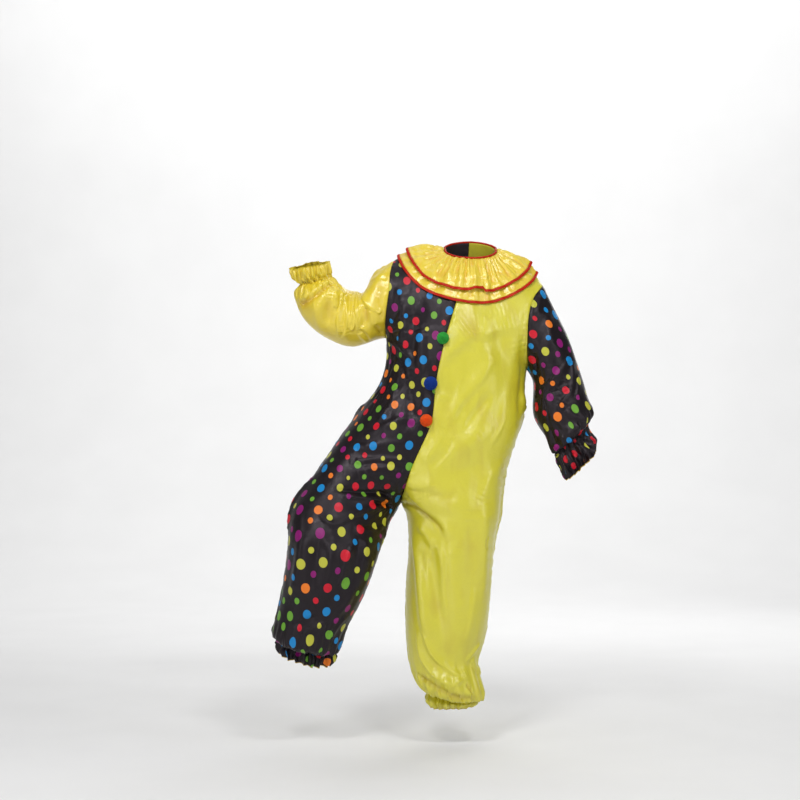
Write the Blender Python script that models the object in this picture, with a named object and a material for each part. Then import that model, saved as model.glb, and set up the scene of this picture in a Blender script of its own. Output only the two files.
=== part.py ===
"""Two-tone clown jumpsuit: satin, standing open as worn, with a two-tier ruffled collar and pompoms.

One half is dotted black satin and the other plain yellow satin, cut as front and back panels that
run from shoulder to ankle.  Each sleeve is of the other half's satin.  Metres, +Z up, the front
faces -Y, and the origin is the middle of the neck between the shoulders, where the wearer holds it.
"wearer's right" is at -X.
"""
import math
from collections import namedtuple

import bmesh
import bpy
import numpy as np
from mathutils import Vector
from mathutils.bvhtree import BVHTree
from mathutils.kdtree import KDTree

COLLECTION = "clown_jumpsuit"

WALL = 0.0015                 # thickness of a satin wall
SEAM_INSET = 0.0002           # each piece stops this far short of its seam
SEAM_GAP = 0.0004
CROTCH_PIECES = 4             # only at the crotch do so many pieces meet
UNDERARM_POINT = 1.35         # how pointed an armhole is below
VALLEY = 0.45                 # slope of a seam's valley at which each wall keeps its own direction
SAME_POINT = 0.00005          # points of two pieces closer than this are one point of the seam

PANEL_COLUMNS = 10            # from a centre seam or inseam round to the side seam
ROW_POINTS = 61               # a row is drawn with this many points before they are evened out
ROUNDNESS = 0.9               # below 1, a row's front is flatter than an ellipse
GATHERED_FROM = 0.001         # rows with gathers higher than this carry double columns
YOKE_ROWS = 9                 # from the shoulder seam down to the underarm
SLEEVE_COLUMNS = 2 * YOKE_ROWS
ARMHOLE_EASING = (1.0, 0.45, 0.12)    # how much of the panels' edge a sleeve's first rows follow
COLLAR_COLUMNS = 80           # two to a gather

NECK_X, NECK_WIDE, NECK_DEEP = 0.006, 0.080, 0.078    # half sizes of the neck opening
NECK_RISE, NECK_TILT = 0.022, 0.031                   # its height at the sides, and fall to the front
NECKLINE_COLUMNS = 4

SADDLE_OUT, SADDLE_DROP, SADDLE_SPREAD = 0.016, 0.026, 0.020    # cloth falling away at the crotch
SADDLE_ROWS = 4               # legs' rows below the crotch that it reaches
YOKE_EASING = 5               # rounds of smoothing between the yoke's edges

# The collar's tiers.  "lift" is the height over the chest and shoulders at the neck and at the
# edge; "fine" and "broad" are the heights of the gathers at the neck and of the waves at the edge.
Tier = namedtuple("Tier", "name binding width neck_lift edge_lift fine broad")
TIERS = (
    Tier("collar_lower_tier", "lower_tier_binding", 0.140, 0.0030, 0.0090, 0.0012, 0.0026),
    Tier("collar_upper_tier", "upper_tier_binding", 0.107, 0.0064, 0.0180, 0.0012, 0.0042),
)
TIER_ROWS = 4
TIER_WALL = 0.0012
TIER_INNER = 0.002            # the tiers' inner edge stands this far out from the neckline
BINDING_WIDE, BINDING_THICK = 0.0065, 0.0028
NECK_BINDING_RADIUS = 0.0032
NECK_BINDING_LIFT = 0.0045
CHEST_CORE = (0.006, 0.0, -0.170)     # a point inside the chest from which the collar's lie is felt
FIRST_LOOK, LAST_LOOK, LOOKS = 75, -35, 56
LIE_REACH = 0.012             # the lie's slope is taken over this distance each way

# Centre seams from the underarm level to the crotch.  "wrap" is 0 where a panel ends on the
# centre line and 1 where it wraps round to an inseam.
Centre = namedtuple("Centre", "z front_x front_y back_x back_y wrap steps")
CENTRE_SEAMS = (
    Centre(-0.257, -0.075, -0.138, -0.018, 0.128, 0.00, 1),
    Centre(-0.344, -0.095, -0.140, -0.022, 0.120, 0.00, 1),
    Centre(-0.429, -0.107, -0.142, -0.034, 0.116, 0.00, 1),
    Centre(-0.507, -0.116, -0.145, -0.058, 0.130, 0.00, 1),
    Centre(-0.573, -0.142, -0.146, -0.092, 0.144, 0.03, 1),
    Centre(-0.639, -0.172, -0.140, -0.130, 0.146, 0.10, 2),
    Centre(-0.707, -0.196, -0.116, -0.168, 0.124, 0.33, 2),
    Centre(-0.752, -0.208, -0.062, -0.198, 0.068, 0.66, 1),
    Centre(-0.767, -0.210, 0.000, -0.210, 0.000, 1.00, 1),
)
# The same centre lines above, from the neckline down: x, y, z.
NECK_TO_CHEST_FRONT = ((-0.014, -0.108, -0.060), (-0.032, -0.127, -0.115), (-0.052, -0.136, -0.180))
NECK_TO_CHEST_BACK = ((0.003, 0.108, -0.015), (-0.003, 0.124, -0.085), (-0.011, 0.130, -0.165))

# Side seams beside those centre points: x, z, y, then how far the row bows to front and back.
Side = namedtuple("Side", "x z y front back")
RIGHT_SIDE = (
    Side(-0.2570, -0.250, 0.000, 0.136, 0.128),
    Side(-0.2570, -0.332, 0.000, 0.140, 0.122),
    Side(-0.2820, -0.404, -0.003, 0.142, 0.120),
    Side(-0.3268, -0.460, -0.008, 0.145, 0.130),
    Side(-0.3686, -0.516, -0.016, 0.146, 0.144),
    Side(-0.4031, -0.562, -0.028, 0.144, 0.150),
    Side(-0.4333, -0.606, -0.045, 0.142, 0.150),
    Side(-0.4518, -0.631, -0.055, 0.141, 0.148),
    Side(-0.4672, -0.654, -0.065, 0.140, 0.146),
)
LEFT_SIDE = (
    Side(0.1840, -0.350, 0.000, 0.138, 0.128),
    Side(0.1780, -0.416, 0.000, 0.140, 0.122),
    Side(0.1770, -0.470, 0.000, 0.142, 0.120),
    Side(0.1660, -0.523, 0.000, 0.145, 0.130),
    Side(0.1500, -0.582, 0.000, 0.146, 0.144),
    Side(0.1330, -0.642, 0.000, 0.144, 0.150),
    Side(0.1220, -0.707, 0.000, 0.142, 0.150),
    Side(0.1130, -0.752, 0.000, 0.141, 0.146),
    Side(0.1065, -0.776, 0.000, 0.140, 0.143),
)

# Legs below the crotch.  "tip" is how far a row's front hangs below its sides; "gather" is the
# height of the gathers, and rows that have any carry twice the columns.
Leg = namedtuple("Leg", "inner_x inner_z inner_y x z y front back tip gather steps")
RIGHT_LEG = (
    Leg(-0.230, -0.801, -0.016, -0.502, -0.697, -0.092, 0.138, 0.140, 0.000, 0.000, 1),
    Leg(-0.243, -0.828, -0.042, -0.532, -0.748, -0.118, 0.137, 0.136, 0.004, 0.000, 1),
    Leg(-0.252, -0.854, -0.074, -0.548, -0.800, -0.134, 0.135, 0.132, 0.008, 0.000, 1),
    Leg(-0.271, -0.901, -0.108, -0.556, -0.863, -0.138, 0.131, 0.128, 0.014, 0.000, 1),
    Leg(-0.292, -0.962, -0.118, -0.562, -0.934, -0.130, 0.126, 0.124, 0.018, 0.000, 1),
    Leg(-0.317, -1.028, -0.114, -0.575, -1.009, -0.118, 0.120, 0.120, 0.020, 0.000, 1),
    Leg(-0.348, -1.092, -0.106, -0.589, -1.082, -0.108, 0.112, 0.114, 0.020, 0.000, 1),
    Leg(-0.377, -1.146, -0.098, -0.603, -1.140, -0.098, 0.100, 0.104, 0.020, 0.002, 1),
    Leg(-0.397, -1.179, -0.092, -0.601, -1.161, -0.090, 0.088, 0.090, 0.018, 0.004, 1),
    Leg(-0.410, -1.205, -0.086, -0.589, -1.171, -0.086, 0.068, 0.070, 0.016, 0.006, 1),
    Leg(-0.404, -1.235, -0.084, -0.600, -1.193, -0.084, 0.074, 0.075, 0.016, 0.008, 1),
    Leg(-0.421, -1.257, -0.082, -0.589, -1.218, -0.080, 0.070, 0.070, 0.016, 0.009, 1),
)
LEFT_LEG = (
    Leg(-0.197, -0.795, 0.000, 0.101, -0.814, 0.000, 0.138, 0.139, 0.000, 0.000, 1),
    Leg(-0.189, -0.832, 0.000, 0.093, -0.855, 0.000, 0.136, 0.136, 0.000, 0.000, 1),
    Leg(-0.188, -0.890, 0.000, 0.088, -0.903, 0.000, 0.132, 0.133, 0.000, 0.000, 1),
    Leg(-0.191, -0.962, 0.000, 0.080, -0.972, 0.000, 0.128, 0.130, 0.000, 0.000, 1),
    Leg(-0.196, -1.040, 0.000, 0.071, -1.048, 0.000, 0.124, 0.127, 0.000, 0.000, 1),
    Leg(-0.197, -1.115, 0.000, 0.064, -1.122, 0.000, 0.120, 0.124, 0.000, 0.000, 1),
    Leg(-0.194, -1.188, 0.000, 0.054, -1.190, 0.000, 0.117, 0.120, 0.000, 0.000, 1),
    Leg(-0.184, -1.268, 0.000, 0.026, -1.272, 0.000, 0.104, 0.108, 0.004, 0.002, 1),
    Leg(-0.166, -1.316, 0.000, 0.036, -1.318, 0.000, 0.106, 0.106, 0.006, 0.004, 1),
    Leg(-0.137, -1.360, 0.000, 0.040, -1.362, 0.000, 0.074, 0.076, 0.006, 0.006, 1),
    Leg(-0.140, -1.380, 0.000, 0.043, -1.382, 0.000, 0.080, 0.080, 0.004, 0.008, 1),
    Leg(-0.121, -1.399, 0.000, 0.022, -1.398, 0.000, 0.072, 0.072, 0.004, 0.009, 1),
)

# Shoulder seams: x, z from the neck to the shoulder tip, at y = 0.
RIGHT_SHOULDER = ((-0.125, 0.032), (-0.185, 0.014), (-0.232, -0.006))
LEFT_SHOULDER = ((0.138, 0.006), (0.196, -0.032), (0.235, -0.085))

# Armholes: x at heights from the shoulder tip to the underarm, and how far they bow.
Armhole = namedtuple("Armhole", "heights xs bow")
RIGHT_ARMHOLE = Armhole((-0.006, -0.045, -0.105, -0.170, -0.210, -0.250),
                        (-0.232, -0.244, -0.247, -0.256, -0.260, -0.257), 0.094)
LEFT_ARMHOLE = Armhole((-0.085, -0.119, -0.157, -0.200, -0.270, -0.320, -0.350),
                       (0.235, 0.206, 0.189, 0.182, 0.180, 0.181, 0.184), 0.086)

# Sleeves beyond the armhole: the edge on the thumb side of the arm ("over"), the edge on the
# elbow side ("under"), the middle's y, half the depth, and gathers as for the legs.
Sleeve = namedtuple("Sleeve", "over_x over_z under_x under_z y deep tip gather steps")
RIGHT_SLEEVE = (
    Sleeve(-0.272, -0.031, -0.290, -0.258, 0.000, 0.096, 0.000, 0.000, 1),
    Sleeve(-0.300, -0.058, -0.334, -0.273, 0.002, 0.096, 0.000, 0.000, 1),
    Sleeve(-0.313, -0.091, -0.372, -0.279, 0.004, 0.097, 0.000, 0.000, 1),
    Sleeve(-0.329, -0.113, -0.419, -0.260, 0.004, 0.097, 0.004, 0.000, 1),
    Sleeve(-0.344, -0.103, -0.469, -0.236, 0.000, 0.094, 0.008, 0.000, 1),
    Sleeve(-0.360, -0.107, -0.512, -0.196, -0.008, 0.091, 0.012, 0.000, 1),
    Sleeve(-0.378, -0.104, -0.536, -0.150, -0.018, 0.087, 0.014, 0.000, 1),
    Sleeve(-0.400, -0.088, -0.537, -0.108, -0.028, 0.076, 0.014, 0.003, 1),
    Sleeve(-0.424, -0.062, -0.522, -0.084, -0.036, 0.052, 0.012, 0.004, 1),
    Sleeve(-0.428, -0.044, -0.550, -0.064, -0.042, 0.060, 0.010, 0.006, 1),
    Sleeve(-0.438, -0.016, -0.556, -0.036, -0.048, 0.058, 0.010, 0.008, 1),
)
LEFT_SLEEVE = (
    Sleeve(0.275, -0.178, 0.205, -0.385, -0.002, 0.090, 0.000, 0.000, 1),
    Sleeve(0.304, -0.232, 0.203, -0.424, -0.004, 0.090, 0.000, 0.000, 1),
    Sleeve(0.326, -0.292, 0.201, -0.462, -0.007, 0.089, 0.000, 0.000, 1),
    Sleeve(0.345, -0.342, 0.204, -0.496, -0.010, 0.087, 0.002, 0.000, 1),
    Sleeve(0.361, -0.389, 0.220, -0.527, -0.014, 0.084, 0.004, 0.000, 1),
    Sleeve(0.374, -0.438, 0.239, -0.557, -0.019, 0.081, 0.005, 0.000, 1),
    Sleeve(0.387, -0.482, 0.256, -0.584, -0.024, 0.074, 0.006, 0.003, 1),
    Sleeve(0.375, -0.529, 0.270, -0.606, -0.028, 0.053, 0.006, 0.004, 1),
    Sleeve(0.396, -0.566, 0.274, -0.642, -0.031, 0.061, 0.006, 0.006, 1),
    Sleeve(0.394, -0.604, 0.304, -0.690, -0.034, 0.058, 0.006, 0.008, 1),
)

# Main folds: a soft ridge (height above 0) or trough (below 0) along a line from x, z to x, z,
# on the side that "face" gives: -1 front, 1 back, 0 both.
Fold = namedtuple("Fold", "x0 z0 x1 z1 wide height face")
FOLDS = (
    # elbow of the raised arm, spreading from its inside
    Fold(-0.345, -0.120, -0.352, -0.262, 0.020, -0.012, 0),
    Fold(-0.352, -0.115, -0.400, -0.240, 0.018, 0.010, 0),
    Fold(-0.365, -0.118, -0.445, -0.215, 0.018, -0.011, 0),
    Fold(-0.372, -0.112, -0.490, -0.180, 0.018, 0.009, 0),
    Fold(-0.320, -0.110, -0.300, -0.215, 0.020, 0.009, 0),
    Fold(-0.535, -0.148, -0.440, -0.096, 0.014, -0.008, 0),
    # hanging sleeve
    Fold(0.235, -0.130, 0.300, -0.330, 0.022, 0.007, -1),
    Fold(0.200, -0.390, 0.330, -0.360, 0.020, -0.008, -1),
    Fold(0.215, -0.450, 0.350, -0.420, 0.018, -0.009, 0),
    Fold(0.235, -0.500, 0.372, -0.468, 0.018, 0.008, 0),
    Fold(0.245, -0.540, 0.360, -0.505, 0.014, -0.008, 0),
    # chest and waist
    Fold(-0.010, -0.180, 0.080, -0.420, 0.035, 0.010, -1),
    Fold(0.170, -0.330, 0.060, -0.560, 0.030, -0.009, -1),
    Fold(0.150, -0.480, -0.050, -0.640, 0.030, 0.010, -1),
    Fold(0.100, -0.200, 0.140, -0.400, 0.026, -0.007, -1),
    Fold(-0.240, -0.330, -0.130, -0.470, 0.028, -0.009, -1),
    Fold(-0.245, -0.180, -0.130, -0.300, 0.028, 0.008, -1),
    Fold(-0.150, -0.520, -0.330, -0.560, 0.026, 0.010, -1),
    Fold(-0.180, -0.620, -0.380, -0.640, 0.026, -0.010, -1),
    # crotch and knees
    Fold(-0.205, -0.745, -0.360, -0.690, 0.022, -0.012, -1),
    Fold(-0.215, -0.790, -0.400, -0.790, 0.022, 0.011, -1),
    Fold(-0.235, -0.825, -0.400, -0.860, 0.020, -0.012, -1),
    Fold(-0.200, -0.745, -0.055, -0.870, 0.024, -0.012, -1),
    Fold(-0.180, -0.740, 0.000, -0.760, 0.026, 0.010, -1),
    Fold(-0.520, -0.880, -0.470, -1.080, 0.026, 0.010, -1),
    Fold(-0.400, -0.900, -0.400, -1.060, 0.026, -0.010, -1),
    Fold(-0.560, -1.060, -0.420, -1.130, 0.020, -0.009, 0),
    # standing leg and the sag at its ankle
    Fold(-0.150, -1.000, -0.150, -1.200, 0.028, 0.009, -1),
    Fold(0.020, -0.880, 0.010, -1.150, 0.030, 0.009, -1),
    Fold(-0.060, -0.950, -0.070, -1.150, 0.030, -0.009, -1),
    Fold(-0.170, -1.215, -0.020, -1.290, 0.016, -0.011, 0),
    Fold(0.050, -1.215, -0.030, -1.295, 0.016, -0.010, 0),
    Fold(-0.160, -1.290, 0.030, -1.318, 0.014, 0.010, 0),
    # back: blade folds, waist, seat and the backs of the knees
    Fold(0.120, -0.180, 0.060, -0.420, 0.032, 0.009, 1),
    Fold(-0.190, -0.150, -0.110, -0.380, 0.032, 0.009, 1),
    Fold(-0.020, -0.420, 0.140, -0.450, 0.026, -0.009, 1),
    Fold(-0.060, -0.440, -0.240, -0.430, 0.026, -0.009, 1),
    Fold(-0.190, -0.690, -0.040, -0.600, 0.028, -0.010, 1),
    Fold(-0.220, -0.700, -0.380, -0.650, 0.028, -0.011, 1),
    Fold(-0.180, -0.880, 0.060, -0.900, 0.026, -0.010, 1),
    Fold(-0.150, -0.960, 0.030, -1.000, 0.026, 0.010, 1),
    Fold(-0.270, -0.880, -0.520, -0.860, 0.026, -0.012, 1),
    Fold(-0.310, -0.950, -0.540, -0.960, 0.026, 0.010, 1),
    Fold(-0.080, -1.020, -0.070, -1.200, 0.030, 0.009, 1),
    Fold(-0.440, -1.000, -0.480, -1.130, 0.026, 0.009, 1),
)

Pompom = namedtuple("Pompom", "name x z radius color")
POMPOMS = (
    Pompom("pompom_green", -0.0810, -0.2560, 0.0185, (0.04, 0.42, 0.07)),
    Pompom("pompom_blue", -0.1185, -0.3935, 0.0210, (0.01, 0.06, 0.32)),
    Pompom("pompom_orange", -0.1335, -0.5070, 0.0190, (0.86, 0.11, 0.02)),
)
LOCK_ROOT = 0.62              # a lock's root stands on a core of this share of the radius
LOCK_SPACE = 0.12             # the share of a core's face left free between locks
POMPOM_CLEAR = 0.0004

DOTTED_BLACK = (0.020, 0.016, 0.018)
YELLOW = (0.66, 0.56, 0.06)
SLEEVE_YELLOW = (0.72, 0.55, 0.05)
COLLAR_YELLOW = (0.78, 0.62, 0.06)
BINDING_RED = (0.55, 0.03, 0.008)


def empty_scene():
    """Remove the scene's objects and start the garment's own collection."""
    for item in list(bpy.data.objects):
        bpy.data.objects.remove(item, do_unlink=True)
    parts = bpy.data.collections.new(COLLECTION)
    bpy.context.scene.collection.children.link(parts)
    return parts


def satin(name, color, roughness=0.38):
    """A plain Principled material."""
    material = bpy.data.materials.new(name)
    material.use_nodes = True
    shader = material.node_tree.nodes["Principled BSDF"]
    shader.inputs["Base Color"].default_value = (*color, 1.0)
    shader.inputs["Roughness"].default_value = roughness
    shader.inputs["Metallic"].default_value = 0.0
    return material


# ---------------------------------------------------------------- curves
def smooth(points, steps):
    """A curve through the points, with steps[i] rows between point i and the next."""
    points = np.asarray(points, float)
    before = np.vstack([2 * points[0] - points[1], points[:-1]])
    after = np.vstack([points[1:], 2 * points[-1] - points[-2]])
    slope = (after - before) / 2
    rows = []
    for i, count in enumerate(steps[:len(points) - 1]):
        for k in range(count):
            t = k / count
            rows.append((2 * t**3 - 3 * t**2 + 1) * points[i] + (t**3 - 2 * t**2 + t) * slope[i]
                        + (3 * t**2 - 2 * t**3) * points[i + 1] + (t**3 - t**2) * slope[i + 1])
    rows.append(points[-1])
    return np.array(rows)


def even(points, columns):
    """The same line with its points at even distances along it."""
    points = np.asarray(points, float)
    along = np.concatenate([[0], np.cumsum(np.linalg.norm(np.diff(points, axis=0), axis=1))])
    wanted = np.linspace(0, along[-1], columns + 1)
    return np.stack([np.interp(wanted, along, points[:, k]) for k in range(3)], axis=1)


def neckline(angle):
    """A point of the neck opening; angle 0 is the front and a quarter turn is +X."""
    return np.array((NECK_X + NECK_WIDE * math.sin(angle), -NECK_DEEP * math.cos(angle),
                     NECK_RISE - NECK_TILT * math.cos(angle)))


def armhole_point(hole, angle, face):
    """A point of an armhole; angle 0 is the shoulder tip and half a turn is the underarm."""
    top, bottom = hole.heights[0], hole.heights[-1]
    z = top + (bottom - top) * (1 - math.cos(angle)) / 2
    x = float(np.interp(-z, [-h for h in hole.heights], hole.xs))
    power = 1.0 if angle < math.pi / 2 else UNDERARM_POINT
    return np.array((x, face * hole.bow * abs(math.sin(angle)) ** power, z))


# ---------------------------------------------------------------- panels
def row_curve(inner, outer, bow, wrap, tip, saddle, face, columns):
    """One row of a panel, from its centre seam or inseam round to its side seam."""
    level = wrap < 1          # a row of the body runs level to its side seam
    start = math.pi / 2 * (1 - wrap)
    first = bow * math.sin(start)
    points = []
    for angle in np.linspace(start, math.pi, ROW_POINTS):
        across = (math.cos(start) - math.cos(angle)) / (math.cos(start) + 1)
        point = inner + (outer - inner) * across
        point[2] = inner[2] + (outer[2] - inner[2]) * (1 - (1 - across) ** 2 if level else across)
        base = (inner[1] - face * first) * (1 - across) + outer[1] * across
        swell = math.sin(angle) ** ROUNDNESS if angle < math.pi else 0.0
        if angle == start:
            swell = math.sin(start)
        point[1] = base + face * bow * swell
        point[2] += face * tip * swell
        points.append(point)
    points[0] = np.array(inner)
    row = even(points, columns)
    away = np.concatenate([[0], np.cumsum(np.linalg.norm(np.diff(row, axis=0), axis=1))])
    return row + np.outer(1 - np.exp(-away / SADDLE_SPREAD), saddle)


def yoke(top, bottom, inner, outer):
    """Rows between four edges, from the shoulder to the underarm."""
    rows = []
    for j, (left, right) in enumerate(zip(inner, outer)):
        v = j / (len(inner) - 1)
        row = []
        for i in range(len(top)):
            u = i / (len(top) - 1)
            corners = ((1 - u) * ((1 - v) * top[0] + v * bottom[0])
                       + u * ((1 - v) * top[-1] + v * bottom[-1]))
            row.append((1 - v) * top[i] + v * bottom[i] + (1 - u) * left + u * right - corners)
        rows.append(np.array(row))
    for _ in range(YOKE_EASING):
        grid = np.array(rows)
        around = (grid[:-2, 1:-1] + grid[2:, 1:-1] + grid[1:-1, :-2] + grid[1:-1, 2:]) / 4
        grid[1:-1, 1:-1] = (grid[1:-1, 1:-1] + around) / 2
        rows = list(grid)
    return rows


def shoulder_row(shoulder, turn, face):
    """The neckline from its centre to the shoulder seam, then that seam out to its tip."""
    first = 0.0 if face < 0 else math.pi
    angles = np.linspace(first, math.pi / 2, NECKLINE_COLUMNS + 1)
    neck = [neckline(turn * angle) for angle in angles]
    seam = [neck[-1]] + [np.array((x, 0.0, z)) for x, z in shoulder]
    seam = smooth(seam, [8] * (len(seam) - 1))
    return np.vstack([neck, even(seam, PANEL_COLUMNS - NECKLINE_COLUMNS)[1:]])


def gathered(row, height, closed=False):
    """Lift every other point of a row out from its middle and sink the others."""
    middle = row[:-1].mean(axis=0) if closed else (row[0] + row[-1]) / 2
    result = row.copy()
    for i in range(len(row)):
        outward = row[i] - middle
        outward /= np.linalg.norm(outward)
        uneven = 0.85 + 0.15 * math.sin(2.4 * (i % (len(row) - 1)))
        result[i] = row[i] + outward * height * uneven * (1 if i % 2 == 0 else -1)
    return result


def panel_rows(turn, face, sides, legs, shoulder, hole):
    """All rows of one panel; turn is -1 for the wearer's right, face is -1 for the front."""
    front = face < 0
    seam_steps = [c.steps for c in CENTRE_SEAMS[:-1]]
    centre = smooth([((c.front_x, c.front_y, c.z) if front else (c.back_x, c.back_y, c.z))
                     for c in CENTRE_SEAMS], seam_steps)
    wraps = smooth([(c.wrap,) for c in CENTRE_SEAMS], seam_steps)[:, 0].clip(0, 1)
    leg_steps = [1] + [leg.steps for leg in legs[:-1]]
    crotch = CENTRE_SEAMS[-1]
    inseam = smooth([(crotch.front_x, crotch.front_y, crotch.z)]
                    + [(leg.inner_x, leg.inner_y, leg.inner_z) for leg in legs], leg_steps)
    inner = np.vstack([centre, inseam[1:]])
    wraps = np.concatenate([wraps, np.ones(len(inseam) - 1)])
    bows = [(s.front if front else s.back) for s in sides + legs]
    outer = smooth([(s.x, s.y, s.z, bow, 0 if isinstance(s, Side) else s.tip,
                     0 if isinstance(s, Side) else s.gather)
                    for s, bow in zip(sides + legs, bows)], seam_steps + leg_steps)
    crotch_row = len(centre) - 1
    rows = []
    for k, (start, end, wrap) in enumerate(zip(inner, outer, wraps)):
        gather = end[5]
        columns = PANEL_COLUMNS * (2 if gather > GATHERED_FROM else 1)
        share = wrap if k <= crotch_row else max(0.0, 1 - (k - crotch_row) / SADDLE_ROWS)
        saddle = np.array((turn * SADDLE_OUT, 0, -SADDLE_DROP)) * share
        row = row_curve(start, end[:3], end[3], wrap, end[4], saddle, face, columns)
        rows.append(gathered(row, gather) if gather > GATHERED_FROM else row)
    top = shoulder_row(shoulder, turn, face)
    upper = NECK_TO_CHEST_FRONT if front else NECK_TO_CHEST_BACK
    middle = smooth([top[0], *upper, rows[0][0]], [6] * (len(upper) + 1))
    edge = [armhole_point(hole, math.pi * j / YOKE_ROWS, face) for j in range(YOKE_ROWS + 1)]
    edge[0], edge[-1] = top[-1], rows[0][-1]
    return yoke(top, rows[0], even(middle, YOKE_ROWS), edge)[:-1] + rows


# ---------------------------------------------------------------- sleeves
def sleeve_rows(sections, hole, front_rows, back_rows):
    """Rings from the armhole to the mouth of a sleeve; the first lies on the panels' edge."""
    front = [row[-1] for row in front_rows[:YOKE_ROWS + 1]]
    back = [row[-1] for row in back_rows[:YOKE_ROWS + 1]]
    loop = np.array(front + back[-2:0:-1])
    first = Sleeve(hole.xs[0], hole.heights[0], hole.xs[-1], hole.heights[-1], 0, hole.bow, 0, 0, 1)
    table = smooth([first[:-1]] + [s[:-1] for s in sections], [1] + [s.steps for s in sections])
    rings = []
    for k, (over_x, over_z, under_x, under_z, y, deep, tip, gather) in enumerate(table):
        columns = SLEEVE_COLUMNS * (2 if gather > GATHERED_FROM else 1)
        ring = []
        for j in range(columns + 1):
            angle = 2 * math.pi * j / columns
            share = (1 + math.cos(angle)) / 2
            ring.append((under_x + (over_x - under_x) * share, y - deep * math.sin(angle),
                         under_z + (over_z - under_z) * share - tip * math.sin(angle)))
        ring = np.array(ring)
        if gather > GATHERED_FROM:
            ring = gathered(ring, gather, closed=True)
        rings.append(ring[:-1])
    stray = loop - rings[0]
    for k, share in enumerate(ARMHOLE_EASING):
        rings[k] = rings[k] + stray * share
    return rings


# ---------------------------------------------------------------- surfaces
class Sheet:
    """An open surface: rows of points joined by faces, turned to face outwards."""

    def __init__(self, name, rows, closed, flip):
        self.name = name
        self.points = np.vstack(rows)
        starts = np.concatenate([[0], np.cumsum([len(row) for row in rows])])
        self.faces = []
        for k in range(len(rows) - 1):
            self.join(starts[k], len(rows[k]), starts[k + 1], len(rows[k + 1]), closed)
        if flip:
            self.faces = [face[::-1] for face in self.faces]

    def join(self, upper, above, lower, below, closed):
        """Faces between two rows; the lower may have twice the columns of the upper."""
        spans = above if closed else above - 1
        double = (below if closed else below - 1) > spans
        for i in range(spans):
            a, b = upper + i, upper + (i + 1) % above
            if double:
                c = lower + 2 * i
                d = lower + 2 * i + 1
                e = lower + (2 * i + 2) % below
                self.faces += [(a, c, d), (a, d, b), (b, d, e)]
            else:
                self.faces += self.halves(a, lower + i, lower + (i + 1) % below, b)

    def halves(self, a, b, c, d):
        """Two triangles of a four-sided face, split along its shorter diagonal."""
        one, other = self.points[a] - self.points[c], self.points[b] - self.points[d]
        if np.linalg.norm(one) < np.linalg.norm(other):
            return [(a, b, c), (a, c, d)]
        return [(a, b, d), (b, c, d)]

    def normals(self):
        """The area-weighted sum of face normals at each point."""
        total = np.zeros_like(self.points)
        for face in self.faces:
            first, second, third = self.points[list(face)]
            normal = np.cross(second - first, third - first)
            for index in face:
                total[index] += normal
        return total

    def borders(self):
        """Directed edges that have a face on one side only."""
        seen = set()
        for face in self.faces:
            seen.update(zip(face, face[1:] + face[:1]))
        return [edge for edge in seen if (edge[1], edge[0]) not in seen]


def shared_normals(sheets):
    """Unit normals of each sheet, summed over all sheets where their points meet."""
    every = np.vstack([sheet.points for sheet in sheets])
    normals = np.vstack([sheet.normals() for sheet in sheets])
    tree = KDTree(len(every))
    for i, point in enumerate(every):
        tree.insert(point, i)
    tree.balance()
    meetings = [[i for _, i, _ in tree.find_range(point, SAME_POINT)] for point in every]
    joined = np.array([normals[meeting].sum(axis=0) for meeting in meetings])
    joined /= np.linalg.norm(joined, axis=1, keepdims=True)
    counts = np.array([len(meeting) for meeting in meetings])
    cuts = np.cumsum([len(sheet.points) for sheet in sheets])[:-1]
    for sheet, meets in zip(sheets, np.split(counts, cuts)):
        sheet.meets = meets
    return np.split(joined, cuts)


def fold_height(point, normal):
    """How far the folds lift the cloth at a point."""
    lift = 0.0
    for fold in FOLDS:
        along = np.array((fold.x1 - fold.x0, fold.z1 - fold.z0))
        to_point = np.array((point[0] - fold.x0, point[2] - fold.z0))
        share = float(to_point @ along) / float(along @ along)
        if not -0.1 < share < 1.1:
            continue
        away = np.linalg.norm(to_point - along * min(max(share, 0), 1)) / fold.wide
        if away > 2.5:
            continue
        ends = max(0.0, math.sin(math.pi * (share + 0.1) / 1.2)) ** 0.6
        facing = 1.0 if fold.face == 0 else min(max((fold.face * normal[1] + 0.1) / 0.5, 0), 1)
        lift += fold.height * math.exp(-away * away) * ends * facing
    return lift


def edge_directions(sheet):
    """For each border point, the step into the sheet that clears both seams beside it."""
    edges = set(sheet.borders())
    inward = {}
    for face in sheet.faces:
        for k in range(3):
            a, b, third = face[k], face[(k + 1) % 3], face[(k + 2) % 3]
            if (a, b) in edges:
                along = sheet.points[b] - sheet.points[a]
                along /= np.linalg.norm(along)
                into = sheet.points[third] - sheet.points[a]
                into -= along * (into @ along)
                into /= np.linalg.norm(into)
                inward.setdefault(a, []).append(into)
                inward.setdefault(b, []).append(into)
    return {index: (first + second) / max(1 + first @ second, 0.5)
            for index, (first, second) in inward.items()}


def seam_normal(shared, own, inward):
    """A seam point's wall direction: shared, but the sheet's own where two pieces form a valley."""
    own = own / np.linalg.norm(own)
    inward = inward / np.linalg.norm(inward)
    share = min(max(float(shared @ inward) / VALLEY, 0), 1)
    normal = shared * (1 - share) + own * share
    return normal / np.linalg.norm(normal)


def walled(points, inner_points, faces, borders):
    """Faces of a closed wall between an outer and an inner set of points."""
    count = len(points)
    solid = [tuple(face) for face in faces]
    solid += [tuple(index + count for index in reversed(face)) for face in faces]
    solid += [(b, a, a + count, b + count) for a, b in borders]
    return np.vstack([points, inner_points]), solid


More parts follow.
